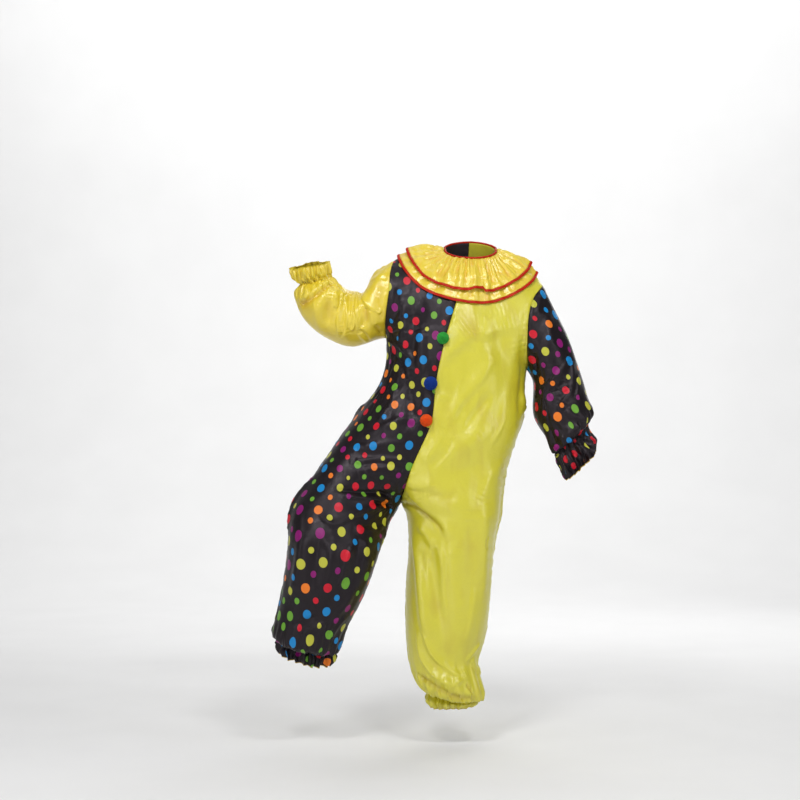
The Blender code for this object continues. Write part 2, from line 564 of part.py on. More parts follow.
def add_mesh(parts, name, points, faces, material, sharp=40):
    """A mesh object from points and faces."""
    mesh = bpy.data.meshes.new(name)
    mesh.from_pydata([tuple(map(float, p)) for p in points], [], [tuple(map(int, f)) for f in faces])
    mesh.validate()
    mesh.shade_smooth()
    mesh.set_sharp_from_angle(angle=math.radians(sharp))
    item = bpy.data.objects.new(name, mesh)
    item.data.materials.append(material)
    parts.objects.link(item)
    return item


def cloth_sheets():
    """The panels and sleeves as open surfaces, folded, with their shared normals."""
    right = [panel_rows(-1, face, RIGHT_SIDE, RIGHT_LEG, RIGHT_SHOULDER, RIGHT_ARMHOLE)
             for face in (-1, 1)]
    left = [panel_rows(1, face, LEFT_SIDE, LEFT_LEG, LEFT_SHOULDER, LEFT_ARMHOLE)
            for face in (-1, 1)]
    sheets = [
        Sheet("front_right", right[0], False, True),
        Sheet("back_right", right[1], False, False),
        Sheet("front_left", left[0], False, False),
        Sheet("back_left", left[1], False, True),
        Sheet("sleeve_right", sleeve_rows(RIGHT_SLEEVE, RIGHT_ARMHOLE, *right), True, False),
        Sheet("sleeve_left", sleeve_rows(LEFT_SLEEVE, LEFT_ARMHOLE, *left), True, True),
    ]
    for sheet, normals in zip(sheets, shared_normals(sheets)):
        lifts = np.array([fold_height(p, n) for p, n in zip(sheet.points, normals)])
        sheet.points = sheet.points + normals * lifts[:, None]
    return sheets, shared_normals(sheets)


def add_cloth(parts, sheets, normals, materials):
    """Give each sheet its wall, inwards from its outer face."""
    for sheet, shared in zip(sheets, normals):
        own = sheet.normals()
        outer, normal = sheet.points.copy(), shared.copy()
        for index, inward in edge_directions(sheet).items():
            outer[index] = outer[index] + inward * SEAM_INSET
            if sheet.meets[index] < CROTCH_PIECES:
                normal[index] = seam_normal(shared[index], own[index], inward)
        points, faces = walled(outer, outer - normal * WALL, sheet.faces, sheet.borders())
        add_mesh(parts, sheet.name, points, faces, materials[sheet.name])


# ---------------------------------------------------------------- collar
def garment_tree(sheets):
    """The garment's outer faces, for what lies on them."""
    points, faces = [], []
    for sheet in sheets:
        start = len(points)
        points += [tuple(map(float, point)) for point in sheet.points]
        faces += [tuple(int(index) + start for index in face) for face in sheet.faces]
    return BVHTree.FromPolygons(points, faces)


def lie(tree, angle):
    """The line from the neckline out over the garment, as distances from the neck's axis and heights."""
    core = Vector(CHEST_CORE)
    start = Vector(neckline(angle)) - core
    flat = Vector((math.sin(angle), -math.cos(angle), 0))
    line = [(start.xy.length, start.z)]
    neck_look = math.degrees(math.atan2(start.z, start.xy.length)) - 3
    for look in np.linspace(FIRST_LOOK, LAST_LOOK, LOOKS):
        if look > neck_look:
            continue
        slant = math.radians(look)
        aim = flat * math.cos(slant) + Vector((0, 0, math.sin(slant)))
        hit = tree.ray_cast(core, aim)[3]
        line.append((hit * math.cos(slant), hit * math.sin(slant)))
    line = np.array(line)
    for _ in range(3):
        line[1:-1] = (line[:-2] + 2 * line[1:-1] + line[2:]) / 4
    return line + (0, core.z)


def on_lie(line, width):
    """The point, outward direction and upright direction at a distance along a lie."""
    along = np.concatenate([[0], np.cumsum(np.linalg.norm(np.diff(line, axis=0), axis=1))])
    at = np.array([np.interp(width, along, line[:, k]) for k in (0, 1)])
    ahead = np.array([np.interp(width + LIE_REACH, along, line[:, k]) for k in (0, 1)])
    behind = np.array([np.interp(max(width - LIE_REACH, 0), along, line[:, k]) for k in (0, 1)])
    out = (ahead - behind) / np.linalg.norm(ahead - behind)
    return at, out, np.array((-out[1], out[0]))


def around_neck(angle, spot):
    """A point of the garment from its distance from the neck's axis and its height."""
    return NECK_X + spot[0] * math.sin(angle), -spot[0] * math.cos(angle), spot[1]


def tier_rows(lies, tier):
    """A tier's rows of points, gathered at the neck and waved towards the edge."""
    rows = []
    for j in range(TIER_ROWS + 1):
        share = j / TIER_ROWS
        row = []
        for i, (angle, line) in enumerate(lies):
            at, _, up = on_lie(line, TIER_INNER + share * tier.width)
            uneven = 0.8 + 0.2 * math.sin(1.7 * i)
            gather = tier.fine * (1 if i % 2 else -1) * math.sin(math.pi * (1 - share) * 0.75)
            wave = tier.broad * math.sin(math.pi / 2 * i) * share ** 0.8 * uneven
            lift = tier.neck_lift + (tier.edge_lift - tier.neck_lift) * share ** 0.5
            row.append(around_neck(angle, at + up * (lift + gather + wave)))
        rows.append(np.array(row))
    return rows


def add_tier(parts, lies, tier, cloth, red):
    """One gathered tier and the binding along its edge."""
    rows = tier_rows(lies, tier)
    sheet = Sheet(tier.name, rows, True, False)
    normals = sheet.normals()
    normals /= np.linalg.norm(normals, axis=1, keepdims=True)
    points, faces = walled(sheet.points, sheet.points - normals * TIER_WALL, sheet.faces,
                           sheet.borders())
    add_mesh(parts, tier.name, points, faces, cloth)
    ups = normals[-len(lies):]
    outs = rows[-1] - rows[-2]
    outs -= ups * (outs * ups).sum(axis=1, keepdims=True)
    outs /= np.linalg.norm(outs, axis=1, keepdims=True)
    middle = rows[-1] - ups * TIER_WALL / 2 + outs * SEAM_GAP
    corners = []
    for along, rise in ((0, 1), (BINDING_WIDE, 1), (BINDING_WIDE, -1), (0, -1)):
        corners.append(middle + outs * along + ups * rise * BINDING_THICK / 2)
    count = len(middle)
    faces = []
    for side in range(4):
        here, there = side * count, (side + 1) % 4 * count
        for i in range(count):
            k = (i + 1) % count
            faces.append((here + i, there + i, there + k, here + k))
    add_mesh(parts, tier.binding, np.vstack(corners), faces, red)


def add_neck_binding(parts, lies, red):
    """The round binding over the tiers' gathered inner edges."""
    curve = bpy.data.curves.new("neck_binding", "CURVE")
    curve.dimensions = "3D"
    curve.bevel_depth = NECK_BINDING_RADIUS
    curve.bevel_resolution = 1
    spline = curve.splines.new("POLY")
    posts = lies[::2]
    spline.points.add(len(posts) - 1)
    spline.use_cyclic_u = True
    for point, (angle, line) in zip(spline.points, posts):
        at, out, up = on_lie(line, TIER_INNER)
        spot = at - out * (NECK_BINDING_RADIUS + SEAM_GAP) + up * NECK_BINDING_LIFT
        point.co = (*around_neck(angle, spot), 1)
    item = bpy.data.objects.new("neck_binding", curve)
    item.data.materials.append(red)
    parts.objects.link(item)


# ---------------------------------------------------------------- pompoms
def add_pompom(parts, tree, pompom):
    """A ball of tapered locks that stand on one core, resting on the panel."""
    hit, normal = tree.ray_cast(Vector((pompom.x, -1, pompom.z)), Vector((0, 1, 0)))[:2]
    middle = hit + normal * (pompom.radius + POMPOM_CLEAR)
    form = bmesh.new()
    bmesh.ops.create_icosphere(form, subdivisions=2, radius=pompom.radius * LOCK_ROOT)
    roots = list(form.faces)
    for root in roots:
        bmesh.ops.inset_individual(form, faces=[root], thickness=pompom.radius * LOCK_SPACE / 4)
    for root in roots:
        tip = bmesh.ops.poke(form, faces=[root])["verts"][0]
        tip.co = tip.co.normalized() * pompom.radius
    bmesh.ops.translate(form, verts=form.verts, vec=middle)
    mesh = bpy.data.meshes.new(pompom.name)
    form.to_mesh(mesh)
    form.free()
    item = bpy.data.objects.new(pompom.name, mesh)
    item.data.materials.append(satin(pompom.name + "_plush", pompom.color, 0.9))
    parts.objects.link(item)


def main():
    parts = empty_scene()
    dotted = satin("dotted_black_satin", DOTTED_BLACK)
    yellow = satin("yellow_satin", YELLOW)
    golden = satin("golden_satin", SLEEVE_YELLOW)
    collar = satin("collar_satin", COLLAR_YELLOW)
    red = satin("red_binding", BINDING_RED, 0.5)
    materials = {"front_right": dotted, "back_right": dotted, "sleeve_left": dotted,
                 "front_left": yellow, "back_left": yellow, "sleeve_right": golden}
    sheets, normals = cloth_sheets()
    add_cloth(parts, sheets, normals, materials)
    tree = garment_tree(sheets)
    angles = [2 * math.pi * i / COLLAR_COLUMNS for i in range(COLLAR_COLUMNS)]
    lies = [(angle, lie(tree, angle)) for angle in angles]
    for tier in TIERS:
        add_tier(parts, lies, tier, collar, red)
    add_neck_binding(parts, lies, red)
    for pompom in POMPOMS:
        add_pompom(parts, tree, pompom)


main()
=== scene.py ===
"""Clown jumpsuit: satin sheets sewn over the frame's walls, a ruffled collar, bindings and pompoms.

Each cloth sheet starts from the outer face of its wall, is smoothed through that face's points,
creased, puckered at its seams and gathered at its elastic, and gets its own thin thickness.
Metres, +Z up, the front faces -Y.  "right" and "left" are the wearer's.
"""
import heapq
import math
from collections import namedtuple

import bmesh
import bpy
import numpy as np
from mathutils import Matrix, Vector, noise
from mathutils.bvhtree import BVHTree
from mathutils.kdtree import KDTree


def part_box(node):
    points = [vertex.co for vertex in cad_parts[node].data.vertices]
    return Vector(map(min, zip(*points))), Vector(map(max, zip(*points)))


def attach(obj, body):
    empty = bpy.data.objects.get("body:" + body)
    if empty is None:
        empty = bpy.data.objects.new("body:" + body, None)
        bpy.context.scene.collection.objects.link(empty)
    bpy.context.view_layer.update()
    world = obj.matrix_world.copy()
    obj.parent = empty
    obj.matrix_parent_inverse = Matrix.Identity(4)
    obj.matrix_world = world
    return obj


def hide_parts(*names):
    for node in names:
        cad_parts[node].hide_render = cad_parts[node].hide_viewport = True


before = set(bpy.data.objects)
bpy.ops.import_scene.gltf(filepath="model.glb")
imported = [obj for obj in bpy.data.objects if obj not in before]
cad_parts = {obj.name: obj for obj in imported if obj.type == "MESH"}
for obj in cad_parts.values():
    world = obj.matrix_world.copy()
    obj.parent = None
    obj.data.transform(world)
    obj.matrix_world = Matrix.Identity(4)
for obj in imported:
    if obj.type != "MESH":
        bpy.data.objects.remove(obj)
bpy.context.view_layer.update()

bl_info = {
    "name": "Clown Jumpsuit",
    "version": (1, 0, 0),
    "blender": (4, 5, 0),
    "location": "3D View > Sidebar > Jumpsuit",
    "description": "Sews, gathers, binds and lights a two-tone satin clown jumpsuit",
    "category": "Object",
}

PANELS = ("front_right", "back_right", "front_left", "back_left")
SLEEVES = ("sleeve_right", "sleeve_left")
SLOTS = {"front_right": "dotted_satin", "back_right": "dotted_satin", "sleeve_left": "dotted_satin",
         "front_left": "yellow_satin", "back_left": "yellow_satin", "sleeve_right": "golden_satin"}

SAME_POINT = 0.00002          # points of a wall closer than this are one
RIM = 0.0022                  # only the rim between a wall's two faces has edges this short
NEIGHBOUR = 0.0012            # two sheets' edges closer than this are sewn together
CORNER_TURN = math.radians(45)
FLAT_ENOUGH = math.radians(70)           # two triangles that bend and lean less than this are joined
FITTING_ROUNDS, FITTING_STEP = 8, 1.4
EASING = (0.5, -0.5) * 4      # a coarse sheet's points move towards and away from their neighbours' middle
GATHERED = 0.12               # points this close to a hem are left where they are

# Creases, as lines laid on the cloth, by the piece and the side that they are seen from.  A row has
# its half width, its height (above 0 for a ridge), how much steeper one flank is than the other,
# and its line's points: x, z by turns from the front or back, or y, z from the left or right.
CREASE_ROWS = (
    # raised sleeve, spreading from the inside of the elbow
    ("sleeve_right", "front", (
        (.0076, .0068, .9, -.4, -.084, -.397, -.12, -.399, -.155, -.408, -.195, -.404, -.256),
        (.007, .0065, .9, -.391, -.094, -.387, -.138, -.38, -.174, -.383, -.224, -.397, -.258),
        (.0064, .0057, .6, -.362, -.118, -.366, -.175, -.373, -.212, -.365, -.223, -.356, -.205, -.357,
         -.155),
        (.0067, .007, 1, -.348, -.105, -.352, -.15, -.351, -.19, -.345, -.236),
        (.006, .0057, .8, -.338, -.106, -.341, -.15, -.339, -.185, -.343, -.226),
        (.007, .007, .9, -.336, -.104, -.326, -.132, -.308, -.156, -.286, -.168, -.27, -.176),
        (.0084, -.0054, .4, -.294, -.204, -.283, -.224, -.268, -.242),
        (.0067, .0062, .9, -.34, -.214, -.322, -.226, -.309, -.245, -.302, -.266),
        (.0076, .0051, .6, -.344, -.232, -.33, -.25, -.312, -.264),
        (.0093, -.0045, .2, -.37, -.112, -.374, -.14, -.376, -.162),
        (.0084, .0049, .7, -.413, -.092, -.416, -.13, -.42, -.16),
        (.0084, -.0061, .3, -.326, -.15, -.32, -.18, -.322, -.21),
        (.017, .0085, .3, -.48, -.13, -.47, -.18, -.452, -.245),
        (.015, -.008, 0, -.43, -.105, -.434, -.16, -.436, -.215),
        (.0093, .007, .5, -.53, -.138, -.5, -.122, -.462, -.098, -.432, -.074),
        (.0084, -.0081, 0, -.532, -.152, -.5, -.136, -.462, -.11, -.426, -.08),
        (.0067, .0046, .7, -.51, -.096, -.506, -.11, -.5, -.122),
        (.0067, .0049, .7, -.488, -.09, -.486, -.104, -.48, -.114),
        (.0067, .0046, .7, -.466, -.078, -.464, -.09, -.458, -.1),
        (.012, .0034, .8, -.312, -.078, -.296, -.056, -.276, -.04),
        (.012, .003, .6, -.304, -.096, -.28, -.07, -.262, -.05),
        (.013, -.005, 0, -.276, -.08, -.28, -.13, -.276, -.18),
        (.013, -.0065, 0, -.39, -.12, -.393, -.18, -.392, -.232),
        (.01, -.0055, 0, -.372, -.13, -.374, -.18, -.373, -.24),
        (.011, -.006, 0, -.33, -.15, -.328, -.19, -.33, -.22),
        (.015, .006, .4, -.306, -.15, -.298, -.19, -.284, -.226),
    )),
    ("sleeve_right", "back", (
        (.0074, .0052, .9, -.352, -.108, -.372, -.17, -.396, -.25),
        (.0068, .0048, .9, -.345, -.106, -.352, -.175, -.349, -.244),
        (.0074, .0052, .9, -.364, -.106, -.402, -.15, -.446, -.216),
        (.0068, .0045, .8, -.336, -.108, -.322, -.16, -.298, -.218),
        (.0068, .004, .8, -.33, -.112, -.302, -.15, -.276, -.176),
        (.015, .008, .3, -.44, -.105, -.47, -.14, -.49, -.19),
        (.0093, .007, .4, -.53, -.138, -.495, -.12, -.46, -.096, -.434, -.076),
        (.012, -.0055, 0, -.28, -.07, -.286, -.13, -.28, -.19),
    )),
    # hanging sleeve
    ("sleeve_left", "front", (
        (.0078, .0056, .9, .328, -.304, .299, -.334, .274, -.37, .244, -.398, .237, -.435, .233, -.484),
        (.0074, .0056, .9, .322, -.31, .325, -.36, .319, -.412, .294, -.45, .278, -.484),
        (.0093, .007, .7, .3, -.474, .334, -.498, .38, -.49),
        (.008, .0045, .5, .234, -.092, .222, -.14, .214, -.18),
        (.015, .0055, .2, .252, -.15, .252, -.221, .262, -.29),
        (.008, -.0055, 0, .204, -.296, .212, -.345, .214, -.385),
        (.0078, .0045, .8, .236, -.536, .254, -.57, .272, -.604),
        (.0078, -.005, .3, .252, -.53, .272, -.566, .284, -.596),
        (.0078, .0056, .8, .286, -.558, .318, -.536, .354, -.51),
        (.008, -.0055, .2, .25, -.422, .282, -.412, .308, -.376),
        (.0074, .0042, .8, .34, -.36, .342, -.4, .338, -.44),
        (.0074, .0042, .7, .25, -.492, .282, -.512, .3, -.536),
    )),
    ("sleeve_left", "back", (
        (.0078, .0056, .9, .232, -.4, .28, -.382, .324, -.35),
        (.0078, .0056, .9, .24, -.47, .29, -.44, .338, -.42),
        (.0085, .006, .8, .252, -.53, .3, -.5, .362, -.48),
        (.0074, .004, .7, .236, -.435, .28, -.412, .318, -.388),
        (.014, .0055, .2, .232, -.11, .236, -.2, .256, -.3),
        (.008, -.0055, 0, .2, -.29, .214, -.35, .23, -.39),
    )),
    # dotted half: chest and waist
    ("body", "front", (
        (.018, .0057, .2, -.215, -.08, -.205, -.2, -.222, -.3),
        (.014, -.0052, 0, -.172, -.15, -.166, -.26, -.176, -.33),
        (.01, .0057, .5, -.228, -.4, -.24, -.45, -.285, -.52),
        (.009, .0052, .6, -.122, -.4, -.16, -.372, -.212, -.352),
        (.009, .0052, .6, -.142, -.512, -.2, -.5, -.27, -.528, -.335, -.566),
        (.008, .0052, .6, -.25, -.262, -.215, -.28, -.16, -.33),
        (.008, -.0052, .3, -.246, -.29, -.214, -.33, -.188, -.392),
        (.012, .0069, .5, -.176, -.64, -.26, -.628, -.38, -.64),
        (.011, .0057, .5, -.18, -.58, -.26, -.58, -.37, -.596),
        (.024, .009, .3, -.15, -.2, -.15, -.3, -.13, -.4),
        (.022, -.009, 0, -.19, -.38, -.176, -.47, -.19, -.56),
        (.024, .01, .4, -.17, -.69, -.27, -.66, -.4, -.68),
        # dotted half: crotch, knee and shin
        (.007, -.0092, 0, -.425, -.722, -.35, -.731, -.274, -.735, -.235, -.748),
        (.007, .0069, .7, -.4, -.744, -.32, -.753, -.262, -.758, -.228, -.768),
        (.006, -.008, 0, -.3, -.764, -.262, -.77, -.234, -.778),
        (.008, .0069, .8, -.471, -.8, -.44, -.828, -.41, -.835, -.358, -.808, -.291, -.787, -.242, -.79),
        (.008, .0063, .6, -.362, -.89, -.383, -.948, -.397, -1, -.416, -1.032),
        (.009, .008, .8, -.352, -1.01, -.383, -1.078, -.416, -1.12, -.446, -1.19),
        (.008, .0063, .8, -.383, -1.116, -.41, -1.15, -.438, -1.19),
        (.008, .0069, .8, -.44, -1.138, -.475, -1.15, -.525, -1.178),
        (.022, .01, .3, -.52, -.83, -.528, -.95, -.56, -1.09),
        (.02, -.01, 0, -.47, -.86, -.476, -.96, -.5, -1.08),
        (.022, .009, .3, -.42, -.87, -.43, -.97, -.462, -1.09),
        (.016, -.008, 0, -.33, -.86, -.35, -.96, -.382, -1.05),
        (.009, .0057, .6, -.25, -.83, -.3, -.85, -.36, -.842),
        (.008, -.0057, .2, -.47, -1.12, -.51, -1.135, -.56, -1.15),
        # plain half: chest and waist
        (.032, .012, .9, -.124, -.36, -.092, -.319, -.035, -.272, .02, -.23, .062, -.212),
        (.032, .012, .9, -.03, -.256, .02, -.23, .056, -.232, .095, -.218, .173, -.201, .205, -.18),
        (.0085, .004, .7, -.06, -.296, -.02, -.262, .024, -.234, .04, -.222),
        (.008, .0036, .5, -.044, -.196, -.02, -.214, .01, -.226, .04, -.228),
        (.0085, .0036, .5, .064, -.226, .09, -.232, .12, -.218),
        (.01, .004, .5, -.106, -.446, -.078, -.436, -.05, -.44),
        (.02, -.01, 0, .178, -.2, .176, -.3, .168, -.42, .152, -.56),
        (.024, .005, .2, .14, -.23, .136, -.34, .114, -.48, .086, -.62),
        (.032, -.004, 0, .024, -.21, .002, -.4, -.034, -.62),
        (.024, -.0036, 0, -.03, -.29, -.056, -.45, -.094, -.62),
        (.018, .0062, .6, -.112, -.57, -.03, -.46, .044, -.372, .096, -.29),
        (.015, -.006, .2, -.02, -.56, .03, -.48, .08, -.42),
        (.012, .0046, .6, .06, -.6, .1, -.54, .124, -.47, .134, -.4),
        (.013, .0046, .6, -.15, -.65, -.104, -.6, -.07, -.53),
        (.011, -.0046, .2, -.12, -.66, -.08, -.62, -.04, -.56),
        (.028, .0056, .4, -.14, -.62, -.05, -.6, .04, -.56, .13, -.49),
        (.022, .0056, .4, .13, -.62, .07, -.69, .03, -.78),
        (.028, -.0036, 0, -.12, -.66, 0, -.66, .1, -.6),
        # plain half: crotch, standing leg and the sag at its ankle
        (.018, -.005, 0, -.15, -.74, -.085, -.748, -.02, -.752),
        (.016, .009, .7, -.203, -.73, -.17, -.752, -.128, -.79, -.072, -.85, -.05, -.9),
        (.015, .006, .5, -.2, -.716, -.15, -.716, -.096, -.706),
        (.009, -.008, .3, -.214, -.765, -.166, -.783, -.111, -.818, -.071, -.863),
        (.013, .0066, .4, -.161, -.833, -.13, -.87, -.111, -.913),
        (.017, .0105, .6, -.18, -.828, -.166, -.9, -.155, -.988, -.14, -1.14, -.118, -1.21),
        (.022, -.008, 0, -.13, -.82, -.112, -.98, -.096, -1.1, -.076, -1.24),
        (.028, .008, .3, -.056, -.85, -.046, -1.02, -.024, -1.22),
        (.024, -.0056, 0, .01, -.74, .01, -.94, .014, -1.16),
        (.019, .0064, .3, .052, -.72, .054, -.92, .044, -1.12),
        (.012, .0056, .5, -.1, -.88, -.082, -.96, -.078, -1.05, -.062, -1.15),
        (.011, -.0056, 0, -.15, -.9, -.134, -.99, -.126, -1.09),
        (.011, .0046, .5, .02, -1.02, .01, -1.12, -.012, -1.21),
        (.007, .008, .8, -.163, -1.143, -.15, -1.24, -.111, -1.303, -.056, -1.327, -.026, -1.317, .01,
         -1.296),
        (.007, .0069, .8, -.158, -1.12, -.121, -1.228, -.076, -1.278, -.031, -1.303, .004, -1.288),
        (.008, -.0092, 0, -.172, -1.293, -.111, -1.33, -.036, -1.35, .028, -1.346),
        (.006, -.0063, .2, -.01, -1.322, .012, -1.336),
        (.007, .0052, .5, .04, -1.2, .012, -1.238, -.01, -1.262),
        (.006, -.0046, .3, .064, -.862, .056, -.89, .058, -.92),
        (.006, .004, .3, .048, -.93, .058, -.96),
    )),
    # back
    ("body", "back", (
        (.012, .0057, .5, -.23, -.11, -.15, -.17, -.05, -.19),
        (.012, .0057, .5, .18, -.18, .11, -.2, .02, -.19),
        (.016, .0069, .3, .15, -.26, .11, -.36, .1, -.47),
        (.016, .0069, .3, -.22, -.27, -.17, -.35, -.15, -.45),
        (.015, -.0057, 0, -.06, -.23, -.08, -.34, -.07, -.45),
        (.01, .0069, .7, -.23, -.47, -.12, -.45, 0, -.462, .13, -.44),
        (.009, .0063, .7, -.26, -.52, -.15, -.5, -.05, -.51),
        (.01, .0063, .7, .15, -.5, .06, -.52, -.04, -.5),
        (.012, .008, .6, -.19, -.73, -.12, -.68, .02, -.64),
        (.012, .008, .6, -.225, -.74, -.3, -.69, -.41, -.66),
        (.009, -.008, .2, -.2, -.77, -.13, -.79, -.03, -.77),
        (.009, .0075, .8, -.25, -.83, -.36, -.82, -.5, -.8),
        (.009, .0075, .8, -.27, -.88, -.38, -.89, -.53, -.86),
        (.008, -.0057, .2, -.26, -.85, -.36, -.86, -.46, -.84),
        (.01, .0069, .6, -.33, -1, -.38, -1.08, -.42, -1.16),
        (.011, .0069, .5, -.54, -.96, -.55, -1.05, -.54, -1.14),
        (.009, .0069, .8, -.18, -.9, -.08, -.93, .05, -.9),
        (.009, .0063, .8, -.17, -.96, -.06, -.97, .05, -.95),
        (.013, .0069, .3, -.12, -1.02, -.11, -1.12, -.09, -1.22),
        (.008, .008, .8, -.17, -1.22, -.12, -1.285, -.05, -1.31, .02, -1.28),
        (.008, -.008, 0, -.16, -1.29, -.09, -1.335, .02, -1.33),
        (.008, .0063, .8, .04, -1.19, -.01, -1.24, -.07, -1.255),
    )),
    # sides, as y, z
    ("body", "left", (
        (.013, .0069, .5, -.06, -.4, 0, -.48, .06, -.6),
        (.062, -.022, 0, -.03, -.52, -.03, -.7, -.03, -.86, -.03, -1.06),
        (.012, -.0057, 0, -.04, -.9, 0, -1.02, .03, -1.14),
        (.008, .0069, .8, -.08, -1.24, -.02, -1.29, .06, -1.28),
    )),
    ("body", "right", (
        (.012, .0069, .5, -.1, -.66, -.12, -.76, -.16, -.86),
        (.012, .0069, .5, -.06, -.7, -.06, -.82, -.1, -.92),
        (.012, -.0057, 0, -.12, -.96, -.13, -1.06, -.11, -1.13),
    )),
)
Crease = namedtuple("Crease", "on side wide height skew line")
CREASES = [Crease(on, side, *row[:3], list(zip(row[3::2], row[4::2])))
           for on, side, rows in CREASE_ROWS for row in rows]
SHARP = 0.0085                # cloth is cut finer round creases narrower than this
FINE_REACH = 1.7              # how many such widths the finer cloth reaches
CLEAR = 0.42                  # share of the gap to a neighbour that folds may fill
CLEAR_WITHIN = 0.030          # walls farther off than this are no neighbours
OVER_PANELS = ("collar_lower_tier", "neck_binding")    # walls that lie over the panels and sleeves
# Folds that spread from a point, such as the inside of an elbow: the point's x and z, how many
# there would be all the way round, their height, where they start and how far they reach.
Fan = namedtuple("Fan", "on side middle count height start reach")
FANS = (
    Fan("sleeve_right", "front", (-.345, -.088), 24, .0034, .014, .050),
    Fan("sleeve_right", "back", (-.345, -.088), 26, .0050, .014, .110),
    Fan("sleeve_left", "front", (.182, -.345), 22, .0026, .012, .080),
    Fan("sleeve_left", "back", (.182, -.345), 24, .0034, .012, .110),
    Fan("sleeve_left", "front", (.232, -.425), 26, .0036, .014, .080),
    Fan("body", "front", (-.220, -.756), 28, .0040, .020, .060),
    Fan("body", "back", (-.215, -.752), 32, .0055, .020, .180),
    Fan("body", "back", (.178, -.335), 24, .0034, .014, .110),
    Fan("body", "front", (-.256, -.238), 24, .0030, .014, .080),
    Fan("body", "back", (-.256, -.238), 24, .0034, .014, .110),
    Fan("body", "front", (-.262, -.395), 22, .0036, .016, .110),
    Fan("body", "back", (-.262, -.395), 22, .0042, .016, .130),
)
FAN_VALLEY = 0.62             # how much of a fan fold's height lies below the cloth
TURNED_AWAY = 0.35            # fan folds die out on cloth that faces their side less than this
LEAST_REACH = 0.020           # the shortest that any one fold of a fan or gather reaches
FAN_LIMIT = 2.2               # how many times its reach a fan is felt at most
# How a fan's folds wander: slowly round it, and from place to place on the cloth.  Then how
# unequal their lengths are: slowly round it, and from fold to fold.
FAN_SLOW, FAN_WANDER, FAN_STRAY, FAN_STRAY_SCALE = 2.2, 7.0, 3.0, 15.0
FAN_SLOW_LENGTH, FAN_FOLD_LENGTH, FAN_FOLD_BEAT = 0.9, 0.5, 0.31
FAN_HEART = 0.4               # share of its start within which a fan leaves the cloth alone
CREASE_STEPS = 6              # samples between two points of a crease's line
CREASE_REACH = 3.2            # how many half widths from its line a crease still counts
CREASE_STEEPEN = 0.55         # how much a full skew steepens one flank and eases the other
CREASE_CREST = 0.3            # share of its half width over which its flanks change over
CREASE_END = 0.10             # share of its length over which a crease fades in and out
CREASE_END_WIDER = 12.0       # how much more of it for each metre of its half width

# The satin's slow unevenness: the share of each layer and how often it changes across and down.
RIPPLES = ((0.75, Vector((16.0, 16.0, 7.0))), (0.25, Vector((42.0, 42.0, 20.0))))
SEAM_GROOVE = 0.004           # half width of the groove at a seam
SEAM_REACH, PUCKER_REACH = 0.045, 0.016  # how far a seam is felt, and its puckers' half width
PUCKER_BOOST = 2.2            # brings smooth noise up to its full height
PUCKER_SCALE = 62.0           # how often puckers come along a seam
SHADED = 0.006                # cloth that lies this far down a fold gets all of its painted shade

# Openings with elastic: the sheets round each, how far the elastic is from the hem, the number
# of gathers round it, their height, and whether the hem is overlocked in golden thread.  Then how
# far the elastic draws the cloth in, how far the cloth above puffs out and sags over it, and the
# side on which it does so most.
Mouth = namedtuple("Mouth", "name sheets elastic gathers height golden draw puff sag side")
MOUTHS = (
    Mouth("cuff_right", ("sleeve_right",), 0.046, 46, 0.0016, False, 0.003, 0.004, -0.010, (0, -1, 0)),
    Mouth("cuff_left", ("sleeve_left",), 0.078, 46, 0.0016, True, 0.003, 0.007, 0.016, (0.3, -1, 0)),
    Mouth("ankle_right", ("front_right", "back_right"), 0.046, 58, 0.0018, True, 0.006, 0.008, 0.022,
          (0.4, -1, 0)),
    Mouth("ankle_left", ("front_left", "back_left"), 0.038, 52, 0.0018, False, 0.010, 0.013, 0.034,
          (1, -0.5, 0)),
)
LIMB_END = 0.24               # a hem's gathers and sag stay this near to its middle
LIMB_NEAR = 0.18              # cloth this near to a hem's middle tells which way the limb runs
SAG_SHELF, SAG_FADE = 0.018, 0.036       # where the sag is deepest above the elastic, and its fade
SAG_SIDED, SAG_LEAST = 0.6, 0.05         # how much more it sags on its own side, and the least share
NO_LENGTH = 0.001             # directions shorter than this aren't scaled up
HEM_STRAY, HEM_STRAY_SCALE = 0.0060, 30  # how far, and how often, a frill strays from an even one
HEM_STRAY_SHIFTS = ((0, 0, 0), (31.0, 17.0, 5.0), (7.0, 43.0, 29.0))
ANKLE_BELOW = -1.0            # a panel's free edge below this height is its ankle hem
GATHER_REACH = 0.024          # gathers fade over this distance up the limb from the elastic
GATHER_START = 0.012          # and grow over this distance from the hem
GATHER_LEAST = 0.35           # share of its height that a gather has where it starts
BELOW_HEM = 0.02              # gathers count down to this far below the hem's middle
# How often gathers bunch up and wander round a limb, and how far each shifts them.
BUNCH, BUNCH_SHIFT, WANDER, WANDER_SHIFT = 2.1, 5.0, 1.3, 9.0
GATHER_UNEVEN = 0.8           # how unequal they are in length and in height
SWELL, SWELL_BEAT = 0.9, 0.29            # height and rate of a broader wave under them, as shares of theirs
GROOVE_DEPTH, GROOVE_WIDE, GROOVE_APART = 0.0016, 0.0028, 0.004  # grooves along the elastic's edges
ELASTIC_ROWS = (-0.009, -0.002)          # heights of the two rows of sewing beside the elastic
ROW_NEAR, ROW_ROUND, ROW_LIFT = 0.2, 220, 0.0002  # a row's reach, places round it and lift
ROW_BAND = 0.004              # cloth this near to a row's height tells where its middle is
HEM_WIDE, HEM_THICK = 0.0011, 0.0009     # half sizes of an overlocked edge
LOOP_PITCH, LOOP_LONG, LOOP_WIDE, LOOP_TALL, LOOP_SLANT = 0.0021, 0.0034, 0.0008, 0.0028, 0.35
STITCH_WIDE = 0.0008          # half width of a sewing stitch
AHEAD = 0.0008                # share of a path over which its direction is taken

